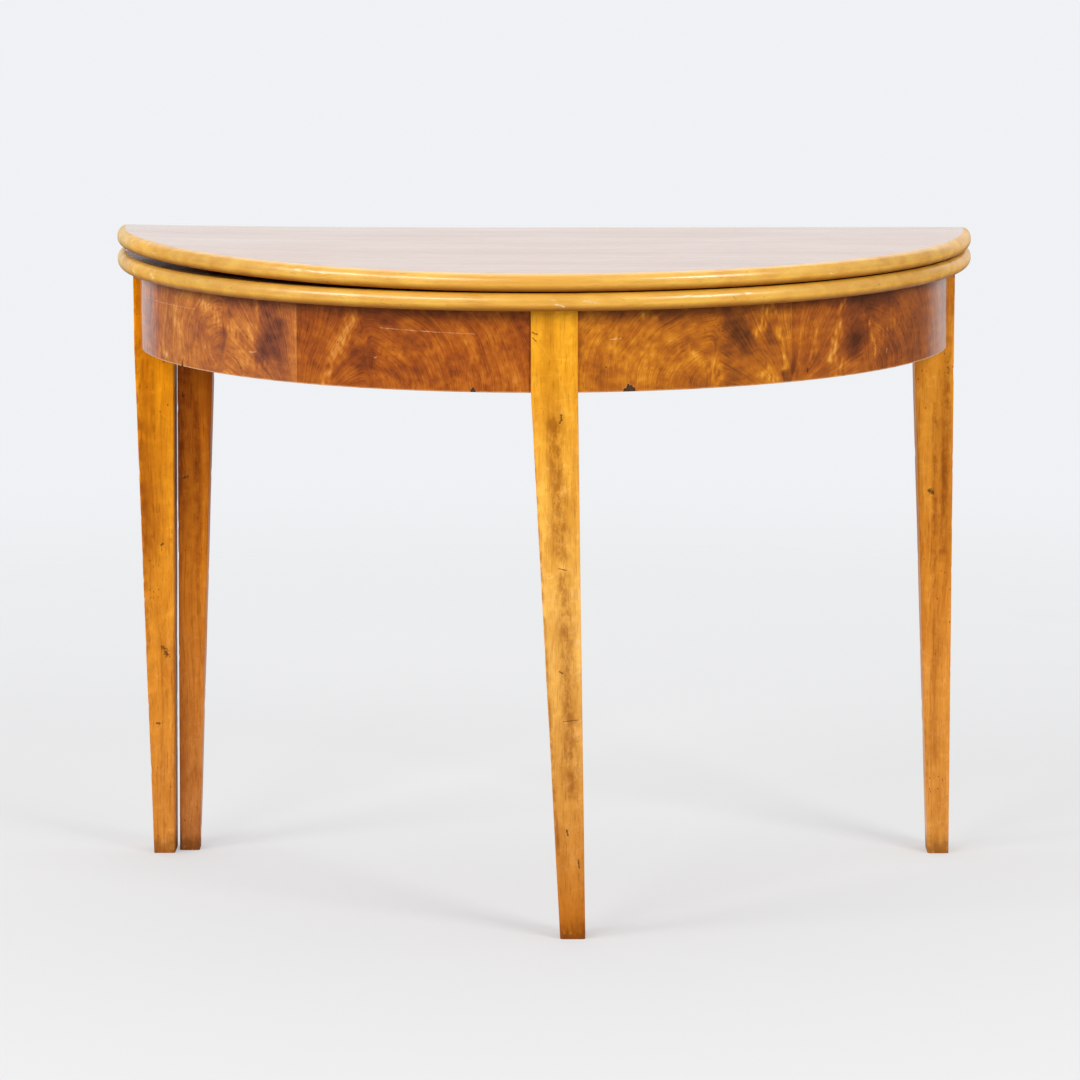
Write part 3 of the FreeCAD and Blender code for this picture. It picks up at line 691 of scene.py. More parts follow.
# %% The left rear leg
left_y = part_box("left_rear_leg")[0].y
left_wood = leg_finish(
    "left_leg_wood", ((0.74, 0.290, 0.047), (0.90, 0.350, 0.022), (0.96, 0.345, 0.001)), 0.80, 7.7,
    stains=on_face(left_y, 4, (-496, 640, -490, 60, 13), (-476, 640, -475, 520, 6),
                   # The last two stains are painted shade and grime in the top corner, where the frieze and
                   # the leaf shade the leg.
                   (-500, 676, -500, 745, 14), (-504, 690, -504, 745, 10)),
    holes=on_face(left_y, 5, (-470, 577, -470, 575, 1.2), (-478, 198, -478, 196, 3),
                  (-466, 389, -468, 388, 2))
    + on_face(left_y, 9, (-468, 260, -463, 250, 4.5), (-478, 165, -474, 164, 1.6)),
    rubs=on_face(left_y, 11, (-482, 12, -466, 14, 1.4), (-474, 70, -472, 64, 1.6)))
left_dents = dents_on_face(left_y, 9, (-458.5, 255, 5, 1.4))
leg("left_rear_leg_worn", "left_rear_leg", "frame", left_wood, left_dents, 23)

# %% The right rear leg
right_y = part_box("right_rear_leg")[0].y
right_wood = leg_finish(
    "right_leg_wood", ((0.76, 0.335, 0.063), (0.77, 0.290, 0.029), (0.84, 0.340, 0.032)), 0.85, 12.9,
    stains=on_face(right_y, 3, (490, 640, 486, 380, 8), (476, 560, 478, 100, 6),
                   # The last two stains are painted shade and grime in the top corner, where the frieze and
                   # the leaf shade the leg.
                   (500, 676, 500, 745, 14), (504, 690, 504, 745, 10)),
    holes=on_face(right_y, 4, (470, 455, 474, 453, 3.6), (490.5, 612, 489.7, 590, 3.6))
    + on_face(right_y, 8, (476, 310, 476, 308, 1.6), (479, 252, 479, 251, 1.4), (474, 128, 488, 129, 1.2),
              (481, 36, 491, 64, 2.2)),
    rubs=on_face(right_y, 9, (474, 152, 490, 147, 0.9), (480, 14, 494, 15, 2.4)))
right_dents = dents_on_face(right_y, 0, (496.5, 600, 6, 1.1))
leg("right_rear_leg_worn", "right_rear_leg", "frame", right_wood, right_dents, 37)

# %% The gate leg
gate_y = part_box("gate_leg")[0].y
gate_wood = leg_finish(
    "gate_leg_wood", ((0.56, 0.208, 0.051), (0.72, 0.238, 0.012), (0.39, 0.090, 0.001)), 1.0, 19.3,
    # The first stain, wide and dark down the upper left of the leg, is partly dark heartwood and partly
    # painted shade from the left leg and the frieze.
    stains=on_face(gate_y, 3, (-449, 640, -447, 440, 22), (-424, 560, -426, 300, 7),
                   (-438, 640, -437, 560, 14)),
    holes=on_face(gate_y, 2, (-440, 571, -440, 569, 3), (-441, 468, -436, 470, 2.6))
    + on_face(gate_y, 7, (-431, 195, -431, 194, 1.4)),
    rubs=on_face(gate_y, 10, (-452, 52, -433, 54, 0.9), (-452, 33, -440, 34, 0.9)))
gate_dents = dents_on_face(gate_y, 0, (-442.5, 466, 4, 0.8))
leg("gate_leg_worn", "gate_leg", "gate", gate_wood, gate_dents, 41)

# %% [markdown]
# ## The finishes of the leaves
#
# A leaf is solid wood, veneered on its faces and rounded on its edge. The edge is honey-coloured, with
# mottled end grain towards both tips, where the boards' ends come to the rim; the very left tip has a painted
# reflection that turns it pale and bluish. The top has bleached in the light; the two faces that lie on each
# other have kept a deeper colour, and the underside was never polished. The edge reads the piece's own UV
# map, arc along the rim and height, so that scratches can be placed on it; the faces read Object coordinates
# with the grain along X. The polish is thick on the upper half of the nose and almost gone from its lower
# half, which hands have rubbed; that lower half, which faces down, is also painted darker as shade.

# %% The honey edge
honey_light, honey_dark = (0.94, 0.530, 0.068), (0.84, 0.410, 0.042)
# The polish thins towards both tips: where it is thinnest, where that starts, and the share that is left.
thin_tips = ((-0.50, -0.40, 0.25), (0.50, 0.46, 0.55))


def join(x, y, z):
    """A vector made of three values."""
    return put(tree_of((x, y, z)), "ShaderNodeCombineXYZ", {0: x, 1: y, 2: z}).outputs[0]


def own_surface(tree):
    """The piece's own UV map: an arc along the piece and a height."""
    return put(tree, "ShaderNodeUVMap", uv_map="surface").outputs[0]


def along_x(place):
    """The place with its X and Z swapped, for wood whose grain runs along X."""
    parts = split(place)
    return join(parts["Z"], parts["Y"], parts["X"])


def edge_finish(name, seed, holes, rubs):
    """Polished edge: straight grain in front, end grain at the tips, duller below with painted shade."""
    material, tree, shader = finish(name, Specular_IOR_Level=0.05, Coat_Roughness=0.28, Coat_IOR=2.7)
    place = own_place(tree)
    surface = own_surface(tree)
    seeded = vectors("ADD", place, (seed, seed, seed))
    grain = placed(grain_group, Place=along_x(place), Seed=seed)
    clouds = cloud(seeded, (26.0, 26.0, 70.0), 4.0, 0.6)
    place_x = split(place)["X"]
    mottle = rise(cloud(seeded, (90.0, 90.0, 120.0), 4.0, 0.7), 0.36, 0.76, 0.35, 0.80)
    mottle = times(rise(sums("ABSOLUTE", place_x), 0.22, 0.47), mottle)
    specks = placed(speck_group, Place=seeded, Scale=95.0, Size=0.11, Share=0.26)["Mask"]
    scuff = rise(cloud(seeded, (90.0, 90.0, 240.0), 5.0, 0.72), 0.68, 0.76, 0.0, 0.30)
    below = own_field(tree, "below")["Fac"]
    holes_mask = strokes(surface, holes)
    broken = rise(cloud(surface, 520.0, 3.0, 0.65), 0.42, 0.62, 0.05, 0.65)
    colour = layered(
        tint(rise(grain["Bands"], 0.30, 0.70), honey_light, honey_dark),
        (rise(grain["Fibre"], 0.50, 0.80, 0.0, 0.45), (0.74, 0.62, 0.45)),
        (rise(clouds, 0.48, 0.74, 0.0, 0.55), (0.78, 0.66, 0.48)),
        (mottle, (0.72, 0.70, 0.95)),
        # Painted reflection: the very left tip turns pale and bluish, as the pale backdrop mirrored there.
        (rise(place_x, -0.480, -0.506), (0.88, 1.04, 2.2)),
        # Painted shade: the lower half of the nose, which faces down, is darkened.
        (rise(below, -0.20, 0.95), (0.36, 0.23, 0.14)),
        (times(specks, 0.6), (0.20, 0.16, 0.14)),
        (scuff, (0.92, 0.70, 0.42), "MIX"),
        (times(holes_mask, 0.38), (0.16, 0.065, 0.018), "MIX"),
        (times(strokes(surface, rubs), broken), (0.95, 0.82, 0.62), "MIX"))
    polish = rise(below, -0.10, 0.24, 1.0, 0.06)
    for tip, inward, least in thin_tips:
        polish = times(polish, rise(place_x, tip, inward, least, 1.0))
    relief = sums("SUBTRACT", times(grain["Fibre"], 0.12), holes_mask)
    feed(shader, Base_Color=colour, Coat_Weight=polish,
         Roughness=sums("MULTIPLY_ADD", mottle, 0.2, rise(clouds, 0.35, 0.7, 0.28, 0.38)),
         Normal=bumped(sums("MULTIPLY_ADD", specks, -0.4, relief), 0.2, 0.0004))
    return material


print("edge finish ready")

# %% The veneered faces
def face_finish(name, light, dark, streak, polish, dullness, seed):
    """Veneered face with long grain; polish is 1 for a French-polished face and 0 for a bare one,
    and dullness is the roughness of that polish."""
    material, tree, shader = finish(
        name, Specular_IOR_Level=0.12, Coat_Weight=polish, Coat_Roughness=dullness, Coat_IOR=1.55)
    place = own_place(tree)
    turned_place = along_x(place)
    grain = placed(grain_group, Place=turned_place, Seed=seed)
    broad = cloud(vectors("ADD", turned_place, (seed, 0.0, seed)), (16.0, 16.0, 0.9), 3.0, 0.55)
    colour = layered(
        tint(rise(grain["Bands"], 0.30, 0.70), light, dark),
        (rise(broad, 0.46, 0.70, 0.0, 0.8), streak, "MIX"),
        (rise(grain["Fibre"], 0.5, 0.8, 0.0, 0.4), (0.55, 0.48, 0.42)),
        (times(grain["Pores"], 0.5), (0.40, 0.32, 0.28)))
    bareness = 0.35 * (1 - polish)
    haze = cloud(place, (5.0, 9.0, 5.0), 4.0, 0.6)
    feed(shader, Base_Color=colour, Roughness=rise(haze, 0.3, 0.7, 0.30 + bareness, 0.46 + bareness),
         Normal=bumped(grain["Fibre"], 0.08, 0.0003))
    return material


faded_top = face_finish(
    "faded_top", (0.57, 0.315, 0.188), (0.50, 0.262, 0.150), (0.44, 0.220, 0.125), 1.0, 0.155, 2.3)
kept_face = face_finish(
    "kept_inner_face", (0.43, 0.170, 0.055), (0.31, 0.107, 0.032), (0.23, 0.073, 0.022), 1.0, 0.06, 5.9)
bare_under = face_finish(
    "bare_underside", (0.36, 0.200, 0.095), (0.25, 0.130, 0.060), (0.19, 0.095, 0.045), 0.0, 0.5, 8.4)
print("three face finishes")

# %% [markdown]
# ## Two half-round leaves
#
# A leaf is a section carried round the half circle: up the straight back edge, across the top, round the
# bull nose and back along the underside. The section is the same everywhere except for the recesses of the
# hinges in the back edge and the dents in the rim. The upper leaf has warped: its left side lifts by the
# cube of the distance from the flat part, little at the hinge line and more towards the front.

# %% The back edge and the rim of a leaf
leaf_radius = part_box("lower_leaf")[1].x
leaf_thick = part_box("lower_leaf")[1].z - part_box("lower_leaf")[0].z
back_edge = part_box("lower_leaf")[1].y
nosing = 0.0096
leaf_hinge = next(joint for joint in frame["joints"] if joint["name"] == "leaf_hinge")["pos_m"]
hinge_names = ("left", "middle", "right")
hinge_hollow, plate_depth, plate_fit = 0.0039, 0.002, 1e-4
dent_count, dent_radii, dent_depths = 60, (0.0012, 0.0045), (0.0001, 0.0006)


def back_depth(x, z, ends, plate_end, above):
    """Depth of a back edge: flat, sunk under its hinge plates, and hollowed round the hinges' barrels."""
    x, z = np.broadcast_arrays(x, z)
    under = ((x[..., None] > ends[:, 0]) & (x[..., None] < ends[:, 1])).any(-1)
    plate = (z > plate_end) if above else (z < plate_end)
    up = z - leaf_hinge[2]
    hollow = leaf_hinge[1] - back_edge - np.sqrt(np.clip(hinge_hollow**2 - up**2, 0, None))
    depth = np.minimum(np.where(plate, -plate_depth, 0.0), np.where(abs(up) < hinge_hollow, hollow, 0.0))
    return np.where(under, depth, 0.0)


def rim_dents(turn, nose, seed):
    """How far the rim is pushed in at each turn round the leaf and angle of its nose: bells of all sizes."""
    draw = np.random.default_rng(seed)
    at_turn, at_nose = draw.uniform(-1.5, 1.5, dent_count), draw.uniform(-1.0, 1.2, dent_count)
    size, depth = draw.uniform(*dent_radii, dent_count), draw.uniform(*dent_depths, dent_count)
    apart = ((turn[:, None, None] - at_turn) * leaf_radius / size) ** 2
    apart = apart + ((nose[:, :, None] - at_nose) * nosing / size) ** 2
    return (depth * np.exp(-apart)).max(axis=-1)


print(f"leaf radius {leaf_radius:.3f} m, thickness {leaf_thick * 1000:.1f} mm")

# %% The surface of a leaf
turn_steps, level_steps, face_steps, nose_steps = 721, 25, 26, 33
flat_from = 0.100
front_lift, corner_lift = 0.0140, 0.0045


def leaf(name, node, body, low, plates, warp, materials, seed):
    """A bull-nosed half disc; materials are its edge, its upper face and its lower face.

    Rows turn round the half circle. Columns go up the back edge, forward along the top, round the nose and
    back along the underside. A height rises by t^3 (corner (1 - v) + front v), where t runs from the flat
    part to the left tip and v from the hinge line to the front.
    """
    high, inner, above = low + leaf_thick, leaf_radius - nosing, plates == "fixed_plate"
    ends = np.array([[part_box(f"{h}_hinge_{plates}")[k].x for k in (0, 1)] for h in hinge_names])
    ends = ends + np.array([-plate_fit, plate_fit])
    plate_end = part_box(f"middle_hinge_{plates}")[0 if above else 1].z
    breaks = np.arcsin(np.concatenate([ends.ravel() - hair, ends.ravel() + hair]) / inner)
    turn = np.unique(np.concatenate([np.linspace(-math.pi / 2, math.pi / 2, turn_steps), breaks]))
    bounds = [plate_end - hair, plate_end + hair, leaf_hinge[2] - hinge_hollow, leaf_hinge[2] + hinge_hollow]
    bounds = [bound for bound in bounds if low < bound < high]
    level = np.unique(np.concatenate([np.linspace(low, high, level_steps), bounds]))
    east, south = np.sin(turn)[:, None], np.cos(turn)[:, None]
    face_x, rim = inner * east, -inner * south
    share = np.linspace(0, 1, face_steps)[None, 1:]
    first = share[0, 0]
    top_back, under_back = (back_depth(face_x, z, ends, plate_end, above) for z in (high, low))
    top_y = top_back * (1 - share) + rim * share
    under_y = under_back * (share - first) + rim * (1 + first - share)
    nose = np.linspace(math.pi / 2, -math.pi / 2, nose_steps)[1:-1][None]
    sunk = rim_dents(turn, nose, seed)
    reach = inner + (nosing - sunk) * np.cos(nose)
    flat = leaf_thick / 2 - nosing
    nose_z = (low + high) / 2 + flat * np.sign(np.round(nose, 6)) + (nosing - sunk) * np.sin(nose)
    back_shape = (len(turn), len(level))
    x = np.hstack([np.broadcast_to(face_x, back_shape), np.broadcast_to(face_x, top_y.shape),
                   reach * east, np.broadcast_to(face_x, under_y.shape)])
    y = np.hstack([back_depth(face_x, level[None], ends, plate_end, above), top_y, -reach * south, under_y])
    z = np.hstack([np.broadcast_to(level, back_shape), np.full(top_y.shape, high), nose_z,
                   np.full(under_y.shape, low)])
    t, v = np.clip((flat_from - x) / (flat_from + leaf_radius), 0, 1), -y / leaf_radius
    z = z + warp * t**3 * (corner_lift * (1 - v) + front_lift * v)
    points = np.stack([x, y + back_edge, z], axis=-1)
    arc = np.broadcast_to(turn[:, None] * leaf_radius, x.shape)
    kinds = np.repeat([0, 1, 0, 2], [len(level) - 1, top_y.shape[1], nose.shape[1] + 1, under_y.shape[1]])
    below = np.full(x.shape, -1.0)
    below[:, len(level) + top_y.shape[1]:][:, :nose.shape[1]] = -np.sin(nose)
    made = shell(name, points, materials, {"below": below}, kinds,
                 uv=np.stack([arc, z], axis=-1), sharp_deg=50.0)
    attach(made, body)
    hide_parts(node)


def on_surface(base, *marks):
    """Marks on a UV map: arc and height over a base at two ends, and a half width, all but the base in mm."""
    return [((a0 * mm, base + h0 * mm, 0.0), (a1 * mm, base + h1 * mm, 0.0), width * mm)
            for a0, h0, a1, h1, width in marks]


print(f"the upper leaf's left side lifts by up to {front_lift * 1000:.0f} mm")

# %% The lower leaf
lower_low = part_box("lower_leaf")[0].z
lower_mid = lower_low + leaf_thick / 2
lower_edge = edge_finish(
    "lower_leaf_edge", 4.4,
    holes=on_surface(
        lower_mid, (-236, 3, -228, -2, 0.6), (-180, 2, -184, -3, 0.6), (-184, -3, -176, -5, 0.5),
        (-160, -4, -158, -6, 0.9), (90, 5, 96, 2, 0.5), (226, 2, 229, -1, 1)),
    rubs=on_surface(
        lower_mid, (18, -1, 28, -4, 1.6), (50, 2, 66, 0, 1.6), (13, 4, 18, 3, 1), (-687, 2, -682, 0, 1.6),
        (-632, 1, -624, -3, 1.8), (-568, 3, -561, -1, 2), (-562, -3, -555, -1, 1.2)))
leaf("lower_leaf_worn", "lower_leaf", "frame", lower_low, "fixed_plate", 0.0,
     [lower_edge, kept_face, bare_under], 53)

# %% The upper leaf
upper_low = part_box("upper_leaf")[0].z
upper_mid = upper_low + leaf_thick / 2
upper_edge = edge_finish(
    "upper_leaf_edge", 9.2,
    holes=on_surface(upper_mid, (-300, 4, -294, 2, 0.7), (205, 4, 211, 2, 0.7)),
    rubs=on_surface(upper_mid, (-560, 6, -552, 5, 1.4), (360, -2, 366, -3, 1)))
leaf("upper_leaf_worn", "upper_leaf", "folding_leaf", upper_low, "moving_plate", 1.0,
     [upper_edge, faded_top, kept_face], 67)
print(f"leaves {(upper_low - lower_low - leaf_thick) * 1000:.2f} mm apart where they lie flat")

# %% [markdown]
# ## Flame veneer on the frieze
#
# The frieze is faced with leaves of crotch wood, cut where a trunk forks. The fibre fans out from the root
# of a seam, arches over and falls back round a dark heart, and the next leaf mirrors it. A shader can't
# know that flow, so it is worked out here for every point: how far across the grain it lies, how far
# along, and how dark or golden the wood is there. The finish then draws its lines along that flow.

# %% The flow of crotch grain
frieze_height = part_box("right_veneer_2")[1].z - frieze_bottom
grain_sway, sway_length = 0.0022, 0.080
# Grain per radian of the fan and of the arcs, in metres, and how the arcs lie round the heart.
fan_scale, arc_scale = 0.095, 0.12
heart_squash, heart_lean, lean_height = 1.1, 0.14, 0.045


def patches(s, h, spots):
    """Soft patches added up: each has a middle and two radii in mm, and an amount."""
    spots = np.array(spots, float) * [mm, mm, mm, mm, 1]
    apart_s = (s[..., None] - spots[:, 0]) / spots[:, 2]
    apart_h = (h[..., None] - spots[:, 1]) / spots[:, 3]
    return (spots[:, 4] * np.exp(-(apart_s**2 + apart_h**2))).sum(-1)


def feathers(s, h, streaks):
    """Feathered streaks added up: each has two ends and a half width in mm, and an amount."""
    streaks = np.array(streaks, float) * [mm, mm, mm, mm, mm, 1]
    run = streaks[:, 2:4] - streaks[:, 0:2]
    reach = np.stack([s, h], axis=-1)[..., None, :] - streaks[:, 0:2]
    share = np.clip((reach * run).sum(-1) / (run * run).sum(-1), 0, 1)
    apart = np.linalg.norm(reach - share[..., None] * run, axis=-1) / streaks[:, 4]
    return (streaks[:, 5] * np.exp(-apart**2)).sum(-1)


def crotch_flow(s, h, heart, root, seed):
    """Across and along the grain at a distance s from the seam and a height h; heart and root are in mm.

    Before the heart the lines fan out from a root below the seam; beyond it they are arcs round the heart.
    Waves bend both a little, as no tree grows on a compass.
    """
    spot = np.stack([s, h], axis=-1)
    s = s + grain_sway * waves(spot, sway_length, seed)
    h = h + grain_sway * waves(spot, sway_length, seed + 2)
    heart_s, heart_h, over_root = heart[0] * mm, heart[1] * mm, h + root * mm
    fan_across, fan_along = fan_scale * np.arctan2(s, over_root), np.hypot(s, over_root)
    arc_across = np.hypot(s - heart_s, heart_squash * (h - heart_h))
    arc_along = arc_scale * np.arctan2(h - heart_h, s - heart_s)
    beyond = step(heart_s - 0.006, heart_s + 0.010, s + heart_lean * (h - lean_height))
    return fan_across * (1 - beyond) + arc_across * beyond, fan_along * (1 - beyond) + arc_along * beyond


print(f"frieze {frieze_height * 1000:.1f} mm high")

# %% The surface of a veneer leaf
arc_step = 0.001
lower_levels, upper_level, level_count = (0.0, 0.0003, 0.0007, 0.0012), 0.0008, 92
deepest_chip, chip_tooth = 0.009, 0.004
edge_round, edge_run = 0.00035, 0.0006
sheet_ripple, sheet_wave = 0.00006, 0.07
figure_bend, bend_length, flicker_length = 0.004, 0.030, 0.007


def veneer(name, node, material, seam, way, heart, root, darks, golds, chips, seed):
    """A thin curved sheet between the CAD leaf's ends, its lower edge chipped where the CAD's is.

    Points lie at an arc from the front and a height: a ring about the middle of the back edge. Distances
    from the seam are counted along way; chips are an arc, a width and a height. All lengths are in mm.
    The tone is the golden streaks, which flicker as fibre does when it rises and dips, less the dark patches.
    """
    cad = cad_points(node)
    reach = np.hypot(cad[:, 0], cad[:, 1] - back_edge)
    outer, inner = reach.max(), reach.min()
    angles = np.arctan2(cad[:, 0], back_edge - cad[:, 1])[reach > outer - 2e-4]
    arc = np.linspace(angles.min(), angles.max(), int(np.ptp(angles) * outer / arc_step)) * outer
    middle_levels = np.linspace(0.002, frieze_height - upper_level, level_count)
    levels = np.concatenate([lower_levels, middle_levels, [frieze_height]])
    chips = np.array(chips, float).reshape(-1, 3) * mm
    off_middle = (arc[:, None] - chips[:, 0]) / (chips[:, 1] / 2)
    bite = (chips[:, 2] * np.sqrt(np.clip(1 - off_middle**2, 0, None))).sum(-1)
    bite = bite * (1 + 0.18 * waves(arc[:, None], chip_tooth, seed))
    bite = np.clip(bite, 0, deepest_chip)[:, None]
    height = bite + levels * (1 - bite / frieze_height)
    spread = np.broadcast_to(arc[:, None], height.shape)
    spot = np.stack([spread, height], axis=-1)
    rounded = edge_round * np.exp(-(levels / edge_run) ** 2)
    radius = outer - rounded + sheet_ripple * waves(spot, sheet_wave, seed + 7)
    s = way * (spread - seam * mm)
    across, along = crotch_flow(s, height, heart, root, seed)
    bend_s, bend_h = (figure_bend * waves(spot, bend_length, seed + k) for k in (4, 5))
    flicker = 0.85 + 0.45 * waves(spot * [1, 0.4], flicker_length, seed + 8)
    tone = flicker * feathers(s + 0.6 * bend_s, height + 0.6 * bend_h, golds)
    tone = tone - 1.2 * patches(s + bend_s, height + bend_h, darks)
    backing = height[:, [-1, 0]]
    ring_r = np.hstack([radius, np.full(backing.shape, inner)])
    ring_h = np.hstack([height, backing])
    ring_a = np.hstack([spread, spread[:, :2]]) / outer
    points = np.stack([ring_r * np.sin(ring_a), back_edge - ring_r * np.cos(ring_a), frieze_bottom + ring_h],
                      axis=-1)
    figure = np.stack([across, along, np.full(across.shape, 0.37 * seed)], axis=-1)
    fields = {label: np.hstack([values, values[:, [-1, 0]]])
              for label, values in (("figure", figure), ("tone", tone))}
    made = shell(name, points, [material], fields, uv=np.stack([ring_a * outer, ring_h], axis=-1))
    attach(made, "frame")
    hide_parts(node)


print(f"veneer points every {arc_step * 1000:.0f} mm")

# %% [markdown]
# The finish mixes broad, middling and fine lines along the flow into one tone and colours it from dark
# brown to gold. Over that lie the scars: a long scratch at one height, where something was pushed along the
# frieze, light bruises and a pale worn line at the lower edge. Under the leaf lies a dark band of dirt and
# painted shade from the leaf's overhang.

# %% The finish of the frieze
veneer_stops = ((0.00, (0.095, 0.026, 0.006)), (0.28, (0.240, 0.060, 0.009)), (0.50, (0.420, 0.112, 0.009)),
                (0.72, (0.610, 0.205, 0.014)), (1.00, (0.800, 0.390, 0.060)))
# Lines along the flow and patches across it: how they are stretched or scaled, and how much they add.
grain_lines = (((40.0, 4.0, 1.0), 0.46), ((400.0, 9.0, 1.0), 0.28), ((900.0, 14.0, 1.0), 0.46))
mottles = ((28.0, 0.66), (110.0, 0.44))
# The first height starts the band of dirt and painted shade under the leaf; the second is the half width of a
# joint.
dirt_and_shade_from, joint_width = 0.076, 0.0008


def veneer_finish(name, cast, ends, rubs, nicks):
    """Polished crotch veneer; cast multiplies its colours, and ends are the arcs of its joints in mm."""
    material, tree, shader = finish(
        name, Specular_IOR_Level=0.10, Coat_Weight=1.0, Coat_Roughness=0.08, Coat_IOR=1.5)
    figure = own_field(tree, "figure")["Vector"]
    surface = own_surface(tree)
    height = split(surface)["Y"]
    total = sums("ADD", own_field(tree, "tone")["Fac"], 0.50)
    noises = [(cloud(figure, stretch), amount) for stretch, amount in grain_lines]
    noises += [(cloud(surface, scale, 3.0, 0.55), amount) for scale, amount in mottles]
    for noise, amount in noises:
        total = sums("MULTIPLY_ADD", sums("SUBTRACT", noise, 0.5), amount, total)
    stops = [(spot, tuple(a * b for a, b in zip(shade, cast))) for spot, shade in veneer_stops]
    pores = rise(cloud(figure, (1400.0, 110.0, 1.0), 0.0), 0.62, 0.76)
    grime = cloud(surface, (60.0, 160.0, 1.0), 4.0, 0.65)
    # The dark band at the top, under the leaf's overhang, is dirt and painted shade.
    dirt = times(rise(height, dirt_and_shade_from, frieze_height), rise(grime, 0.3, 0.7, 0.25, 0.7))
    edge = times(rise(height, 0.0020, 0.0006), rise(grime, 0.3, 0.6, 0.1, 0.6))
    joints = [((end * mm, 0.0, 0.0), (end * mm, frieze_height, 0.0), joint_width) for end in ends]
    nicks_mask = strokes(surface, nicks)
    broken = rise(cloud(surface, 240.0, 3.0, 0.6), 0.40, 0.60, 0.08, 0.42)
    colour = layered(
        ramp(total, stops),
        (times(pores, 0.60), (0.45, 0.36, 0.30)),
        # Dirt and painted shade under the leaf.
        (dirt, (0.085, 0.030, 0.010), "MIX"),
        (edge, (0.66, 0.38, 0.14), "MIX"),
        (times(strokes(surface, joints), 0.45), (0.35, 0.28, 0.24)),
        (times(nicks_mask, 0.75), (0.035, 0.012, 0.004), "MIX"),
        (times(strokes(surface, rubs), broken), (0.86, 0.56, 0.32), "MIX"))
    haze = cloud(surface, (14.0, 26.0, 1.0), 4.0, 0.6)
    relief = sums("MULTIPLY_ADD", pores, -0.3, times(nicks_mask, -1.0))
    feed(shader, Base_Color=colour, Roughness=rise(haze, 0.3, 0.7, 0.27, 0.42),
         Coat_Weight=rise(dirt, 0.0, 0.7, 1.0, 0.40), Normal=bumped(relief, 0.2, 0.0004))
    return material


print("veneer finish with", len(grain_lines), "scales of grain")

# %% The two right-hand leaves
book_seam, right_end, right_root = 306, 707, 22
right_wood_1 = veneer_finish(
    "right_veneer_wood_1", (1.02, 1.06, 1.0), (43,),
    rubs=on_surface(0.0, (80, 60, 92, 61, 1.2), (151.5, 22, 152.5, 23, 1.6)),
    nicks=on_surface(0.0, (75, 28, 75.5, 29, 1.2)))
veneer("right_veneer_worn_1", "right_veneer_1", right_wood_1, book_seam, -1, (100, 2), right_root,
       darks=[(72, 58, 26, 32, 0.32), (85, 12, 22, 12, 0.14), (120, 12, 12, 12, 0.12),
              (130, 88, 60, 14, 0.20), (3, 6, 6, 18, 0.30), (28, 60, 10, 30, 0.08)],
       golds=[(45, 60, 30, 92, 6.5, 0.38), (28, 4, 36, 14, 8, 0.26), (23, 88, 8, 20, 3, 0.24),
              (95, 10, 104, 28, 6.5, 0.22), (112, 20, 140, 50, 8, 0.16), (190, 20, 240, 80, 35, 0.10),
              (174, 84, 188, 86, 5, 0.26)],
       chips=[(98.5, 8, 4.2), (104, 11, 6.8)], seed=3)
right_wood_2 = veneer_finish(
    "right_veneer_wood_2", (0.90, 0.83, 0.92), (book_seam, right_end),
    rubs=on_surface(0.0, (470, 20, 472, 24, 0.9)), nicks=on_surface(0.0, (330, 10, 331, 13, 1.6)))
veneer("right_veneer_worn_2", "right_veneer_2", right_wood_2, book_seam, 1, (122, 2), right_root,
       darks=[(102, 42, 24, 26, 0.36), (125, 80, 30, 16, 0.14), (3, 6, 6, 18, 0.26), (150, 88, 60, 14, 0.16),
              (200, 45, 70, 70, 0.12)],
       golds=[(64, 22, 82, 90, 5, 0.40), (66, 6, 84, 14, 6.5, 0.28), (129, 66, 141, 14, 2, 0.34),
              (140, 30, 185, 56, 11, 0.10), (10, 12, 18, 86, 3, 0.12), (30, 20, 46, 86, 3.5, 0.14)],
       chips=[], seed=5)

# %% The three left-hand leaves
left_seam, end_seam, left_end, leg_joint = -296.5, -570.8, -707, -11.2
left_wood_3 = veneer_finish(
    "left_veneer_wood_3", (0.83, 0.69, 0.86), (leg_joint,),
    rubs=on_surface(0.0, (-186, 70, -120, 67.6, 0.7), (-120, 67.6, -73, 66.4, 0.6),
                    (-193, 35, -191, 36.6, 1.2)),
    nicks=on_surface(0.0, (-240, 50, -240, 51, 0.9)))
veneer("left_veneer_worn_3", "left_veneer_3", left_wood_3, left_seam, 1, (92, 4), 30,
       darks=[(83, 28, 15, 16, 0.32), (100, 60, 12, 12, 0.14), (135, 22, 30, 10, 0.18),
              (120, 86, 70, 12, 0.14), (20, 50, 22, 60, 0.08), (140, 50, 40, 22, 0.05)],
       golds=[(37, 2, 77, 82, 6.5, 0.36), (200, 84, 245, 2, 8, 0.14), (230, 88, 272, 10, 11, 0.12),
              (112, 42, 180, 46, 8.5, 0.12), (81, 50, 91, 59, 4, 0.20)],
       chips=[(-76.1, 6.5, 5)], seed=7)
left_wood_2 = veneer_finish(
    "left_veneer_wood_2", (1.08, 1.18, 3.1), (end_seam, left_seam),
    rubs=on_surface(0.0, (-570, 69, -520, 70.2, 0.7), (-520, 70.2, -474, 70.6, 0.6),
                    (-454.5, 27, -453.5, 30, 1.2), (-372, 30, -360, 31, 1.2), (-560, 52, -559, 62, 1.2)),
    nicks=on_surface(0.0, (-395, 20, -384, 10, 1)))
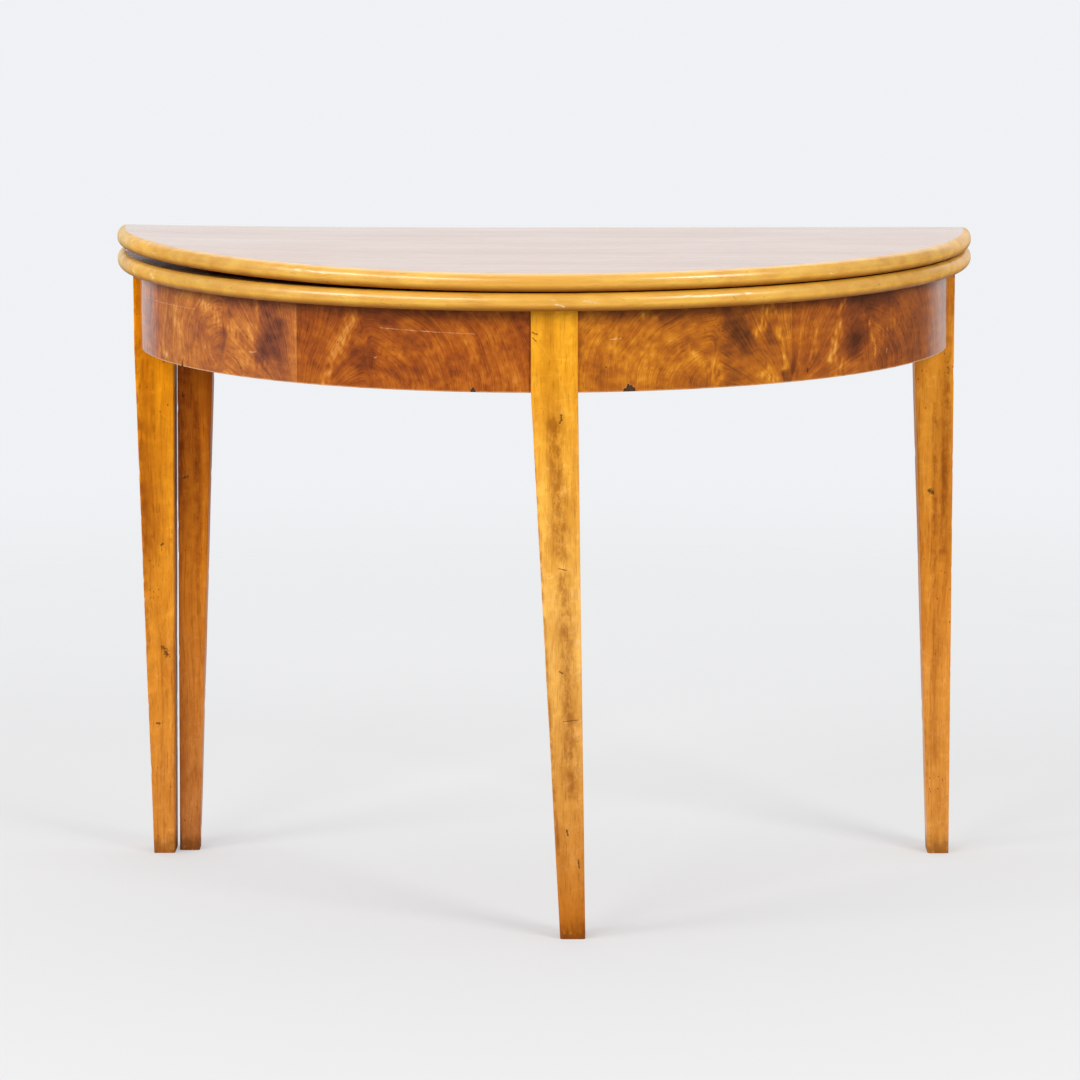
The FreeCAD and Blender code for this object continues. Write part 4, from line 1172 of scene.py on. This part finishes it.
veneer("left_veneer_worn_2", "left_veneer_2", left_wood_2, left_seam, -1, (118, 30), 30,
       darks=[(36, 50, 26, 60, 0.23), (60, 30, 20, 18, 0.12), (120, 50, 10, 12, 0.18),
              (150, 34, 30, 12, 0.10), (110, 84, 30, 10, 0.12)],
       golds=[(70, 44, 76, 56, 5, 0.20), (64, 90, 60, 62, 5.5, 0.22), (160, 82, 100, 50, 8.5, 0.22),
              (42, 16, 86, 18, 9, 0.16), (170, 30, 220, 50, 26, 0.08), (256, 8, 267, 11, 5.5, 0.34)],
       chips=[(-508.5, 5.5, 5.5)], seed=9)
# The end leaf's cast, heavy in blue, is partly the wood's purple-brown and partly painted reflection: the
# lilac of the pale backdrop mirrored where the frieze turns away.
left_wood_1 = veneer_finish(
    "left_veneer_wood_1", (1.30, 1.25, 2.3), (left_end, end_seam),
    rubs=on_surface(0.0, (-626.8, 69.2, -571, 69, 0.7)), nicks=on_surface(0.0, (-600, 20, -599.5, 21, 0.8)))
veneer("left_veneer_worn_1", "left_veneer_1", left_wood_1, end_seam - 30, -1, (600, 0), 600,
       darks=[(20, 50, 20, 80, 0.12)], golds=[(60, 0, 62, 94, 10, 0.08)], chips=[], seed=13)

# %% [markdown]
# ## Inside the frame
#
# The core of the frieze, the rails, the bearer and the glue blocks are plain softwood, never polished and
# brown with age. They stay as the CAD has them and get a bare-wood finish. The bricks of the frieze curve,
# so their grain follows the curve: the finish turns a place into arc, height and depth first.

# %% Bare softwood
brick_radius = 0.48
nowhere = 9.0
glue_black = (0.040, 0.016, 0.008)


def round_the_frieze(place):
    """Arc along the curve, as the grain's way, with height and depth across it."""
    parts = split(place)
    inward = sums("SUBTRACT", back_edge, parts["Y"])
    arc = times(sums("ARCTAN2", parts["X"], inward), brick_radius)
    return join(hypotenuse(parts["X"], inward), parts["Z"], arc)


def along_y(place):
    """The place with its Y and Z swapped, for wood whose grain runs along Y."""
    parts = split(place)
    return join(parts["X"], parts["Z"], parts["Y"])


def softwood(name, way, light, dark, seed, glued_from=nowhere):
    """Bare aged softwood with the grain laid by a function; beyond glued_from it is black with old glue."""
    material, tree, shader = finish(name, Roughness=0.75, Specular_IOR_Level=0.25)
    place = own_place(tree)
    laid = way(place)
    grain = placed(grain_group, Place=laid, Seed=seed)
    stain = cloud(place, (14.0, 14.0, 20.0), 5.0, 0.65)
    colour = layered(
        tint(rise(grain["Bands"], 0.36, 0.66), light, dark),
        (rise(grain["Fibre"], 0.48, 0.8, 0.0, 0.5), shaded(dark, 0.5), "MIX"),
        (rise(stain, 0.45, 0.75, 0.0, 0.6), shaded(dark, 0.45), "MIX"),
        (rise(split(laid)["X"], glued_from, glued_from + 0.0004, 0.0, 0.9), glue_black, "MIX"))
    feed(shader, Base_Color=colour, Roughness=rise(stain, 0.3, 0.7, 0.66, 0.85),
         Normal=bumped(grain["Fibre"], 0.4, 0.0006))
    return material


def dress(material, *names):
    """Gives CAD nodes one finish."""
    for node in names:
        nodes[node].data.materials.clear()
        nodes[node].data.materials.append(material)


print("softwood finish ready")

# %% Softwood on the frame
glue_depth = 0.0012
veneer_back = np.hypot(*(cad_points("right_veneer_2")[:, :2] - [0.0, back_edge]).T).min()
pine_light, pine_dark = (0.46, 0.27, 0.120), (0.34, 0.175, 0.070)
for course in range(1, 5):
    tone = 1.0 - 0.06 * (course % 3)
    bricks = softwood(f"frieze_bricks_{course}", round_the_frieze, shaded(pine_light, tone),
                      shaded(pine_dark, tone), 1.7 * course, veneer_back - glue_depth)
    dress(bricks, f"left_apron_course_{course}", f"right_apron_course_{course}")
dress(softwood("rail_softwood", along_x, pine_light, pine_dark, 3.3), "back_rail")
dress(softwood("hinge_rail_softwood", along_x, (0.42, 0.22, 0.085), (0.29, 0.135, 0.048), 6.1), "hinge_rail")
dress(softwood("gate_rail_softwood", along_x, (0.43, 0.23, 0.090), (0.30, 0.140, 0.050), 9.6), "gate_rail")
dress(softwood("bearer_softwood", along_y, pine_light, pine_dark, 12.2), "cross_bearer")
block_wood = softwood("glue_block_softwood", round_the_frieze, (0.50, 0.30, 0.140), (0.37, 0.20, 0.085), 15.8)
dress(block_wood, "glue_blocks")
dress(gate_wood, "gate_tenon_pegs")
print("softwood on the frame, and leg wood on the pegs")

# %% [markdown]
# ## Brass and iron
#
# The leaf hinges are brass gone brown in the corners and bright where fingers and wear reach; their screws
# and the pin of the gate are dark iron. Both are metal with noise in colour and roughness.

# %% Metal finishes
def old_metal(name, bright, tarnish, roughness, seed):
    """Metal with tarnish in soft patches and fine scratches."""
    material, tree, shader = finish(name, Metallic=1.0)
    place = vectors("ADD", own_place(tree), (seed, seed, seed))
    stains = cloud(place, 140.0, 5.0, 0.65)
    scratch = cloud(place, (300.0, 2600.0, 2600.0))
    colour = tint(rise(stains, 0.38, 0.66), bright, tarnish)
    colour = tint(rise(scratch, 0.60, 0.75, 0.0, 0.35), colour, bright)
    feed(shader, Base_Color=colour, Roughness=rise(stains, 0.35, 0.7, roughness, roughness + 0.25),
         Normal=bumped(stains, 0.2, 0.0002))
    return material


brass = old_metal("old_brass", (0.62, 0.43, 0.17), (0.30, 0.185, 0.070), 0.32, 1.0)
iron = old_metal("dark_iron", (0.20, 0.19, 0.18), (0.075, 0.060, 0.050), 0.45, 4.0)
dress(brass, *(f"{h}_hinge_{part}" for h in hinge_names for part in ("fixed_plate", "moving_plate", "pin")))
dress(iron, "gate_pivot_pin", "bearer_screws", "hinge_rail_screws", "lower_hinge_screws",
      "upper_hinge_screws")
print("metal on the hinges, pin and screws")
